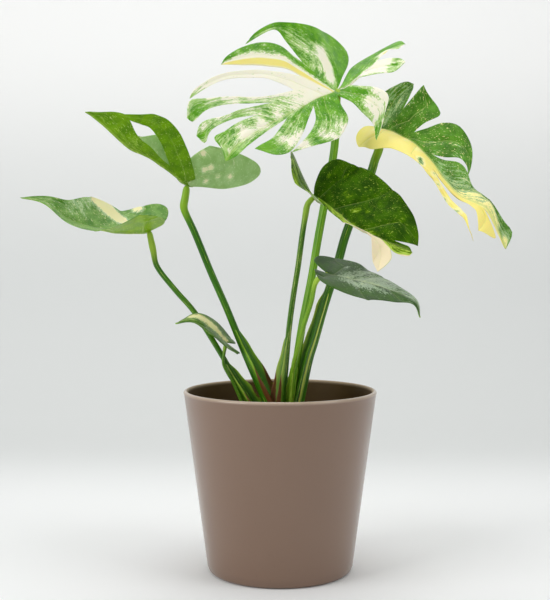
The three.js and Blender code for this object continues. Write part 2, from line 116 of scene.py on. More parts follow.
def make_mesh(name, points, faces, materials, uvs=(), face_material=None):
    """A smooth-shaded object from points (n, 3) and faces (m, 3 or 4); uvs maps a name to (m, corners, 2)."""
    mesh = bpy.data.meshes.new(name)
    mesh.from_pydata(np.asarray(points).tolist(), [], np.asarray(faces).tolist())
    for layer, values in dict(uvs).items():
        mesh.uv_layers.new(name=layer).data.foreach_set("uv", np.asarray(values, np.float32).ravel())
    for material in materials:
        mesh.materials.append(material)
    if face_material is not None:
        mesh.polygons.foreach_set("material_index", np.asarray(face_material, np.int32))
    mesh.shade_smooth()
    mesh.update()
    made = bpy.data.objects.new(name, mesh)
    bpy.context.collection.objects.link(made)
    return made


def grid_faces(rows, columns, around=False, first=0):
    """Quads of a grid of rows by columns of points; around joins the last column to the first."""
    across = columns if around else columns - 1
    row, column = np.meshgrid(np.arange(rows - 1), np.arange(across), indexing="ij")
    beside = (column + 1) % columns
    return first + np.stack(
        [row * columns + column, row * columns + beside,
         (row + 1) * columns + beside, (row + 1) * columns + column], axis=-1).reshape(-1, 4)


def triangles_of(quads):
    """The quads (n, 4) as triangles (2n, 3)."""
    return np.concatenate([quads[:, [0, 1, 2]], quads[:, [0, 2, 3]]])


def hang_light(name, place, aim, size, watts):
    """An area light at place, facing aim."""
    light = bpy.data.lights.new(name, "AREA")
    light.shape = "RECTANGLE"
    light.size, light.size_y = size
    light.energy = watts
    made = bpy.data.objects.new(name, light)
    bpy.context.collection.objects.link(made)
    made.location = place
    towards = np.subtract(aim, place)
    made.rotation_euler = (
        math.atan2(math.hypot(towards[0], towards[1]), -towards[2]), 0,
        math.atan2(towards[1], towards[0]) - math.pi / 2)


camera = bpy.data.objects.new("camera", bpy.data.cameras.new("camera"))
bpy.context.collection.objects.link(camera)
camera.location = CAMERA_PLACE
camera.rotation_euler = (CAMERA_TILT, 0, 0)
camera.data.lens = CAMERA_LENS
bpy.context.scene.camera = camera
bpy.context.scene.view_settings.view_transform = "Standard"

world = bpy.data.worlds.new("room")
bpy.context.scene.world = world
world.use_nodes = True
world.node_tree.nodes["Background"].inputs["Color"].default_value = ROOM_TONE
world.node_tree.nodes["Background"].inputs["Strength"].default_value = ROOM_STRENGTH

paper, tree, output = new_material("backdrop_paper")
paper_place = node(tree, "SeparateXYZ", {0: node(tree, "TexCoord").outputs["Object"]}).outputs
# Painted shade and light: the paper is painted darker where the floor turns up into the cove and paler up the
# wall, standing in for the fall of the soft boxes' light.
floor_painted_shade = blend_colour(tree, ramp(tree, paper_place["Y"], 0.25, 0.75),
                          srgb(238, 239, 239), srgb(216, 218, 217))
paper_painted_light_and_shade = blend_colour(tree, ramp(tree, paper_place["Z"], 0.22, 0.75), floor_painted_shade, srgb(246, 246, 245))
matt = node(tree, "BsdfDiffuse", {"Color": paper_painted_light_and_shade})
clear = node(tree, "BsdfTransparent")
one_way = node(tree, "MixShader", {0: node(tree, "NewGeometry").outputs["Backfacing"],
                                   1: matt.outputs[0], 2: clear.outputs[0]})
tree.links.new(one_way.outputs[0], output.inputs["Surface"])

turn = np.linspace(0, math.pi / 2, SWEEP_STEPS)
sweep = np.concatenate([
    [[SWEEP_FRONT, 0]],
    np.column_stack([SWEEP_START + SWEEP_RADIUS * np.sin(turn), SWEEP_RADIUS * (1 - np.cos(turn))]),
    [[SWEEP_START + SWEEP_RADIUS, SWEEP_HEIGHT]]])
sides = np.array([-SWEEP_HALF_WIDTH, SWEEP_HALF_WIDTH])
sweep_points = np.stack(np.broadcast_arrays(
    sides[None, :], sweep[:, :1], sweep[:, 1:]), axis=-1).reshape(-1, 3)
backdrop = make_mesh("backdrop", sweep_points, grid_faces(len(sweep), 2), [paper])

for name, (place, size, watts) in SOFTBOXES.items():
    hang_light(name, place, LIGHT_AIM, size, watts)

# ------------------------------------------------------------------ the pot
# A slip-cast ceramic tub with a straight taper and a thin rounded lip. It is glazed taupe outside,
# and the glaze runs thinner and paler over the lip's edge. Inside it is a dark olive brown.

pot_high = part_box("pot")[1]
POT_HEIGHT = pot_high[2]
POT_TOP_RADIUS = pot_high[0]
POT_FOOT_RADIUS = 71 * MM
POT_WALL = 4.5 * MM
POT_FLOOR = 7 * MM
POT_FOOT_ROUND = 5 * MM
POT_SLOPE = (POT_TOP_RADIUS - POT_FOOT_RADIUS) / POT_HEIGHT
POT_STEPS = 192
PIT_BROWN = srgb(60, 42, 30)


def lathe(profile, steps):
    """Points and faces of a profile (n, 2) of radius and height turned about Z; its ends lie on the axis."""
    angle = np.arange(steps) * 2 * math.pi / steps
    radius, height = profile[1:-1, 0], profile[1:-1, 1]
    rings = np.stack(np.broadcast_arrays(
        radius[:, None] * np.cos(angle), radius[:, None] * np.sin(angle), height[:, None]), axis=-1)
    points = np.concatenate([rings.reshape(-1, 3), [[0, 0, profile[0, 1]], [0, 0, profile[-1, 1]]]])
    faces = grid_faces(len(radius), steps, around=True)
    fans = []
    for pole, ring, turned in ((len(points) - 2, 0, True), (len(points) - 1, len(radius) - 1, False)):
        here = ring * steps + np.arange(steps)
        beside = ring * steps + (np.arange(steps) + 1) % steps
        fan = np.column_stack([beside, here] if turned else [here, beside])
        fans.append(np.column_stack([fan, np.full(steps, pole)]))
    return points, faces, np.concatenate(fans)


def arc(centre, radius, start, end, count):
    """Points (count, 2) of a circular arc between two angles in degrees."""
    angle = np.radians(np.linspace(start, end, count))
    return np.column_stack([centre[0] + radius * np.cos(angle), centre[1] + radius * np.sin(angle)])


lip = POT_WALL / 2
outside = [POT_TOP_RADIUS - lip, POT_HEIGHT - lip]
foot_edge = POT_FOOT_RADIUS - POT_FOOT_ROUND
wall_heights = np.linspace(POT_FOOT_ROUND * 1.2, POT_HEIGHT - 1.6 * lip, 40)
inner_heights = np.linspace(POT_HEIGHT - 2.2 * lip, POT_FLOOR + POT_FOOT_ROUND, 24)
pot_profile = np.concatenate([
    [[0, 0.0], [foot_edge * 0.5, 0.0]],
    arc((foot_edge, POT_FOOT_ROUND), POT_FOOT_ROUND, -90, -6, 10),
    np.column_stack([POT_FOOT_RADIUS + POT_SLOPE * wall_heights, wall_heights]),
    arc(outside, lip, -4, 184, 16),
    np.column_stack([POT_FOOT_RADIUS + POT_SLOPE * inner_heights - POT_WALL, inner_heights]),
    [[POT_FOOT_RADIUS - POT_WALL - POT_FOOT_ROUND, POT_FLOOR], [0, POT_FLOOR]]])
pot_points, pot_walls, pot_ends = lathe(pot_profile, POT_STEPS)
pot_faces = np.concatenate([pot_ends, triangles_of(pot_walls)])


def glaze_tree(name, thick, thin, edge, roughness, coat, gloss):
    """A glossy glaze: cloudy between two tones, paler and thinner at the lip, with a faint orange peel."""
    material, tree, output = new_material(name)
    place = node(tree, "TexCoord").outputs["Object"]
    cloud = node(tree, "TexNoise", {"Vector": place, "Scale": 9, "Detail": 3, "Roughness": 0.5})
    pits = node(tree, "TexNoise", {"Vector": place, "Scale": 900, "Detail": 2, "Roughness": 0.4})
    peel = node(tree, "TexNoise", {"Vector": place, "Scale": 26, "Detail": 1, "Roughness": 0.4})
    height = node(tree, "SeparateXYZ", {0: place}).outputs["Z"]
    body = blend_colour(tree, cloud.outputs["Fac"], thick, thin)
    specks = node(tree, "MapRange", {0: pits.outputs["Fac"], 1: 0.7, 2: 0.76, 3: 0.0, 4: 0.3})
    speckled = blend_colour(tree, specks.outputs[0], body, PIT_BROWN)
    at_lip = ramp(tree, height, POT_HEIGHT - 1.7 * lip, POT_HEIGHT - 0.2 * lip, 0.0, 0.75)
    colour = blend_colour(tree, at_lip, speckled, edge)
    bump = node(tree, "Bump", {"Height": peel.outputs["Fac"], "Strength": 0.06, "Distance": 0.001})
    rough = node(tree, "MapRange", {0: cloud.outputs["Fac"], 3: roughness * 0.85, 4: roughness * 1.2})
    shader = node(tree, "BsdfPrincipled", {
        "Base Color": colour, "Roughness": rough.outputs[0], "Normal": bump.outputs[0],
        "Specular IOR Level": gloss, "Coat Weight": coat, "Coat Roughness": 0.1, "Coat IOR": 1.5})
    tree.links.new(shader.outputs[0], output.inputs["Surface"])
    return material


glaze = glaze_tree("taupe_glaze", srgb(118, 91, 72), srgb(125, 97, 78), srgb(190, 170, 150), 0.34, 0.6, 0.5)
inner_glaze = glaze_tree("inner_glaze", srgb(66, 49, 20), srgb(80, 60, 28), srgb(176, 156, 132), 0.5, 0.0,
                         0.12)
face_centres = pot_points[pot_faces].mean(axis=1)
face_radius = np.hypot(face_centres[:, 0], face_centres[:, 1])
inside_line = POT_FOOT_RADIUS + POT_SLOPE * face_centres[:, 2] - POT_WALL * 0.6
pot_inside = (face_radius < inside_line) & (face_centres[:, 2] > POT_FLOOR * 0.5)
pot = make_mesh("glazed_pot", pot_points, pot_faces, [glaze, inner_glaze],
                face_material=pot_inside.astype(int))
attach(pot, "root")
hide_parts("pot")

# ------------------------------------------------------------------ the potting mix
# Dark peaty compost, poured in to well below the lip and slightly heaped in the middle. Its surface
# is crumbled, with loose crumbs, bark chips and a few grains of perlite lying on it.

SOIL_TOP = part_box("potting_soil")[1][2]
SOIL_CROWN = 2 * MM
SOIL_RADIUS = POT_FOOT_RADIUS + POT_SLOPE * SOIL_TOP - POT_WALL - 0.5 * MM
SOIL_DEPTH = 22 * MM  # how far down the side of the mix is drawn
SOIL_SIDES = 220
SOIL_RINGS = 90
CRUMBS = 420
BALL_SIDES = 6
BALL_RINGS = 4
chance = np.random.default_rng(11)


def ripples(x, y, size, seed, waves=14):
    """A smooth random field about 0, the mean of sine waves of about that size in random directions."""
    draw = np.random.default_rng(seed)
    heading = draw.uniform(0, 2 * math.pi, waves)
    rate = 2 * math.pi / (size * draw.uniform(0.7, 1.4, waves))
    phase = draw.uniform(0, 2 * math.pi, waves)
    across = np.asarray(x)[..., None] * np.cos(heading) + np.asarray(y)[..., None] * np.sin(heading)
    return np.sin(across * rate + phase).mean(axis=-1)


def soil_height(x, y):
    """Height of the mix: a low heap plus lumps of three sizes."""
    share = np.clip(np.hypot(x, y) / SOIL_RADIUS, 0, 1)
    lumps = 3.2 * ripples(x, y, 22 * MM, 1) + 2.6 * ripples(x, y, 9 * MM, 2) + 2.0 * ripples(x, y, 4 * MM, 3)
    return SOIL_TOP - SOIL_CROWN * share ** 2 - 1.6 * MM + lumps * MM


soil_rings = np.concatenate([np.linspace(0.012, 1, SOIL_RINGS) ** 0.8, [1.0]])
soil_angle = np.arange(SOIL_SIDES) * 2 * math.pi / SOIL_SIDES
soil_x = SOIL_RADIUS * soil_rings[:, None] * np.cos(soil_angle)
soil_y = SOIL_RADIUS * soil_rings[:, None] * np.sin(soil_angle)
soil_z = soil_height(soil_x, soil_y)
soil_z[-1] = SOIL_TOP - SOIL_DEPTH
shrink = np.ones_like(soil_x)
shrink[-1] = 1 - POT_SLOPE * SOIL_DEPTH / SOIL_RADIUS
soil_points = np.stack([soil_x * shrink, soil_y * shrink, soil_z], axis=-1).reshape(-1, 3)
soil_points = np.vstack([soil_points, [[0, 0, soil_z[0].mean()], [0, 0, SOIL_TOP - SOIL_DEPTH]]])
soil_quads = grid_faces(len(soil_rings), SOIL_SIDES, around=True)
here = np.arange(SOIL_SIDES)
beside = (here + 1) % SOIL_SIDES
last = (len(soil_rings) - 1) * SOIL_SIDES
heart = np.full(len(here), len(soil_points) - 2)
under = np.full(len(here), len(soil_points) - 1)
soil_fans = np.concatenate([np.column_stack([here, beside, heart]),
                            np.column_stack([last + beside, last + here, under])])
soil_triangles = np.concatenate([soil_quads[:, [1, 0, 3]], soil_quads[:, [2, 1, 3]], soil_fans])


def crumb_tree(name, dark, light, scale, roughness):
    """A matt crumbly stuff, mottled between two tones, with grain in its bump."""
    material, tree, output = new_material(name)
    place = node(tree, "TexCoord").outputs["Object"]
    mottle = node(tree, "TexNoise", {"Vector": place, "Scale": scale, "Detail": 8, "Roughness": 0.7})
    grain = node(tree, "TexNoise", {"Vector": place, "Scale": scale * 6, "Detail": 4, "Roughness": 0.7})
    tone = node(tree, "MapRange", {0: mottle.outputs["Fac"], 1: 0.35, 2: 0.68})
    colour = blend_colour(tree, tone.outputs[0], dark, light)
    bump = node(tree, "Bump", {"Height": grain.outputs["Fac"], "Strength": 0.7, "Distance": 0.0006})
    shader = node(tree, "BsdfPrincipled", {
        "Base Color": colour, "Roughness": roughness, "Normal": bump.outputs[0]})
    tree.links.new(shader.outputs[0], output.inputs["Surface"])
    return material


compost = crumb_tree("compost", srgb(26, 18, 12), srgb(74, 54, 38), 260, 0.95)
bark = crumb_tree("bark_chips", srgb(58, 38, 24), srgb(120, 84, 56), 340, 0.9)
perlite = crumb_tree("perlite", srgb(196, 192, 184), srgb(236, 234, 228), 500, 0.9)
soil = make_mesh("potting_mix", soil_points, soil_triangles, [compost])
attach(soil, "root")
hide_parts("potting_soil")

# Each crumb is a squashed, turned and dented ball, made of a few rings and two poles.
crumb_theta = np.linspace(0, math.pi, BALL_RINGS + 2)[1:-1]
crumb_phi = np.arange(BALL_SIDES) * 2 * math.pi / BALL_SIDES
ball = np.concatenate([
    np.stack(np.broadcast_arrays(np.sin(crumb_theta)[:, None] * np.cos(crumb_phi),
                                 np.sin(crumb_theta)[:, None] * np.sin(crumb_phi),
                                 np.cos(crumb_theta)[:, None]), axis=-1).reshape(-1, 3),
    [[0, 0, 1], [0, 0, -1]]])
ring = np.arange(BALL_SIDES)
next_ring = (ring + 1) % BALL_SIDES
low_ring = (BALL_RINGS - 1) * BALL_SIDES
pole = np.full(BALL_SIDES, BALL_RINGS * BALL_SIDES)
ball_quads = grid_faces(BALL_RINGS, BALL_SIDES, around=True)
ball_faces = np.concatenate([
    ball_quads[:, [0, 3, 2]], ball_quads[:, [0, 2, 1]],
    np.column_stack([ring, next_ring, pole]),
    np.column_stack([low_ring + next_ring, low_ring + ring, pole + 1])])
crumb_reach = SOIL_RADIUS * 0.95 * np.sqrt(chance.uniform(0, 1, CRUMBS))
crumb_angle = chance.uniform(0, 2 * math.pi, CRUMBS)
crumb_x, crumb_y = crumb_reach * np.cos(crumb_angle), crumb_reach * np.sin(crumb_angle)
# Kinds of crumb: 0 compost, 1 bark, 2 perlite, with how common, how large and what form each is.
CRUMB_SHARES = [0.6, 0.28, 0.12]
CRUMB_SCALES = np.array([1.0, 1.35, 0.85])
CRUMB_FORMS = np.array([[1, 1, 1], [1.6, 0.8, 0.45], [1, 1, 1]])
crumb_kind = chance.choice([0, 1, 2], CRUMBS, p=CRUMB_SHARES)
crumb_size = chance.uniform(1.0, 2.6, CRUMBS) * CRUMB_SCALES[crumb_kind] * MM
crumb_form = chance.uniform(0.55, 1.2, (CRUMBS, 3)) * CRUMB_FORMS[crumb_kind]
spin = chance.normal(size=(CRUMBS, 3, 3))
spin = np.linalg.qr(spin)[0]
spin *= np.sign(np.linalg.det(spin))[:, None, None]
dents = 1 + chance.uniform(-0.18, 0.18, (CRUMBS, len(ball), 1))
crumbs = np.einsum("nij,nkj->nki", spin, ball * dents * crumb_form[:, None, :]) * crumb_size[:, None, None]
crumbs += np.stack([crumb_x, crumb_y, soil_height(crumb_x, crumb_y) + 0.3 * crumb_size], axis=-1)[:, None, :]
crumb_faces = (ball_faces[None] + len(ball) * np.arange(CRUMBS)[:, None, None]).reshape(-1, 3)
loose = make_mesh("loose_crumbs", crumbs.reshape(-1, 3), crumb_faces, [compost, bark, perlite],
                  face_material=np.repeat(crumb_kind, len(ball_faces)))
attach(loose, "root")
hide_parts("potting_soil")

# ------------------------------------------------------------------ the stem
# The plant's short main stem stands just clear of the mix: green-brown, with pale rings where old
# leaves were. The petioles' sheaths hide most of it.

PLANT_BASE = SOIL_TOP + 0.3 * MM  # the plant's own points are measured from here
STEM_RADIUS = 7 * MM
STEM_HEIGHT = 16 * MM
STEM_PLACE = (-6 * MM, 6 * MM)
STEM_STEPS = 40
STEM_SIDES = 40


def smooth_line(points, steps):
    """A Catmull-Rom curve through the points (n, 2 or 3), as steps + 1 points at equal arc lengths."""
    given = np.asarray(points, float)
    held = np.vstack([2 * given[0] - given[1], given, 2 * given[-1] - given[-2]])
    along = np.linspace(0, len(given) - 1, 48 * (len(given) - 1) + 1)
    i = np.minimum(along.astype(int), len(given) - 2)
    t = (along - i)[:, None]
    a, b, c, d = held[i], held[i + 1], held[i + 2], held[i + 3]
    fine = 0.5 * (2 * b + (c - a) * t + (2 * a - 5 * b + 4 * c - d) * t ** 2
                  + (3 * b - a - 3 * c + d) * t ** 3)
    run = np.concatenate([[0], np.cumsum(np.linalg.norm(np.diff(fine, axis=0), axis=1))])
    even = np.linspace(0, run[-1], steps + 1)
    return np.column_stack([np.interp(even, run, column) for column in fine.T])


def unit(vectors):
    """The vectors (n, 3) at length 1."""
    return vectors / np.maximum(np.linalg.norm(vectors, axis=-1, keepdims=True), 1e-12)


def smoothstep(value, low, high):
    """0 below low, 1 above high, and 3t^2 - 2t^3 between."""
    t = np.clip((value - low) / (high - low), 0, 1)
    return t * t * (3 - 2 * t)


def frames_along(line, towards):
    """Two normals along line (n, 3), square to it and to each other; the first leans towards towards."""
    tangent = unit(np.gradient(line, axis=0))
    lean = np.broadcast_to(np.asarray(towards, float), line.shape)
    facing = unit(lean - (lean * tangent).sum(axis=1, keepdims=True) * tangent)
    return facing, np.cross(tangent, facing)


def tube(line, radius, towards, sides):
    """Points of a closed tube along line: its rings, then its two end points.

    radius is an array (rows, sides), the distance from the line in each direction. Angle 0 faces towards.
    """
    facing, beside = frames_along(line, towards)
    angle = np.arange(sides) * 2 * math.pi / sides
    ring = (facing[:, None] * np.cos(angle)[:, None] + beside[:, None] * np.sin(angle)[:, None])
    points = (line[:, None] + ring * radius[..., None]).reshape(-1, 3)
    return np.vstack([points, line[:1], line[-1:]])


def tube_triangles(rows, sides):
    """All triangles of such a tube, and for each corner its (turn, row) share for a UV map."""
    quads = grid_faces(rows, sides, around=True)
    row, side = np.divmod(quads, sides)
    turn_share = np.where((side == 0) & (np.arange(4) % 3 != 0), sides, side) / sides
    row_share = row / (rows - 1)
    first, last = rows * sides, rows * sides + 1
    here = np.arange(sides)
    beside = (here + 1) % sides
    fans = np.concatenate([np.column_stack([beside, here, np.full(sides, first)]),
                           np.column_stack([(rows - 1) * sides + here, (rows - 1) * sides + beside,
                                            np.full(sides, last)])])
    shares = np.stack([turn_share, row_share], axis=-1)
    ends = np.zeros((2 * sides, 3, 2))
    ends[sides:, :, 1] = 1
    return np.concatenate([triangles_of(quads), fans]), np.concatenate([triangles_of(shares), ends])


stem_line = np.column_stack([
    np.full(STEM_STEPS + 1, STEM_PLACE[0]), np.full(STEM_STEPS + 1, STEM_PLACE[1]),
    PLANT_BASE + np.linspace(-4 * MM, STEM_HEIGHT, STEM_STEPS + 1)])
stem_share = np.linspace(0, 1, STEM_STEPS + 1)[:, None]
stem_angle = np.arange(STEM_SIDES) * 2 * math.pi / STEM_SIDES
stem_rings = 0.5 * MM * np.exp(-((stem_share * 4 % 1 - 0.5) / 0.12) ** 2)
stem_radius = STEM_RADIUS * (0.96 - 0.34 * stem_share ** 2) + stem_rings
stem_radius = stem_radius + 0.3 * MM * np.sin(3 * stem_angle + 9 * stem_share)
stem_radius[-3:] *= np.array([[0.93], [0.78], [0.45]])
stem_points = tube(stem_line, stem_radius, (0, -1, 0), STEM_SIDES)
stem_faces, stem_uv = tube_triangles(STEM_STEPS + 1, STEM_SIDES)
stem_skin = crumb_tree("stem_skin", srgb(74, 78, 34), srgb(126, 120, 70), 160, 0.6)
stem = make_mesh("main_stem", stem_points, stem_faces, [stem_skin], {"skin": stem_uv})
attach(stem, "root")
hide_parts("stem")

# ------------------------------------------------------------------ the leaves
# Some of the pale green and white on the blades is painted sheen, laid into their colour.
# Seven blades, each about half a millimetre thick, cut between their side veins into lobes. They are
# green with cream and white sectors, marbling and flecks that run out along the side veins.
#
# A leaf is drawn flat, in millimetres: s runs along the midrib from the petiole's joint to the tip, v
# runs across, away from the midrib. spine is where the midrib really runs; its first points lie behind
# the joint, in the notch between the basal lobes, and joint says how many. A half's across gives, at
# shares of the midrib, the direction in which that half spreads and its curl (1/mm, positive curls it
# under). A lobe reads: the station on the midrib where its root ends, its edge from the last cut to the
# tip, its tip, its edge back from the tip to the next cut, and that cut. left and right are as seen
# from above, looking from the joint to the tip.

ROWS_TO_CUT = 12
ROWS_PAST_CUT = 30
COLUMN_WIDTH = 1.5
BLADE_THICKNESS = 0.55
LEAF_WAVE = 0.5
WAVE_LENGTH = 34
SIDE_GROOVE, SIDE_GROOVE_WIDTH = 0.45, 1.6
MIDRIB_GROOVE, MIDRIB_GROOVE_WIDTH = 0.6, 2.2
SWELL = 0.35
MIDRIB_DEPTH, MIDRIB_WIDTH = 1.1, 1.3
SIDE_RIB_DEPTH, SIDE_RIB_WIDTH = 0.3, 0.9
RIM_SHARE = 0.55  # share of the blade's thickness left at its margin
MAP_UNIT = 100  # millimetres to one unit of the flat and vein maps
RUN_SHARE = 0.1  # share of the midrib either side that the blade's run is averaged over

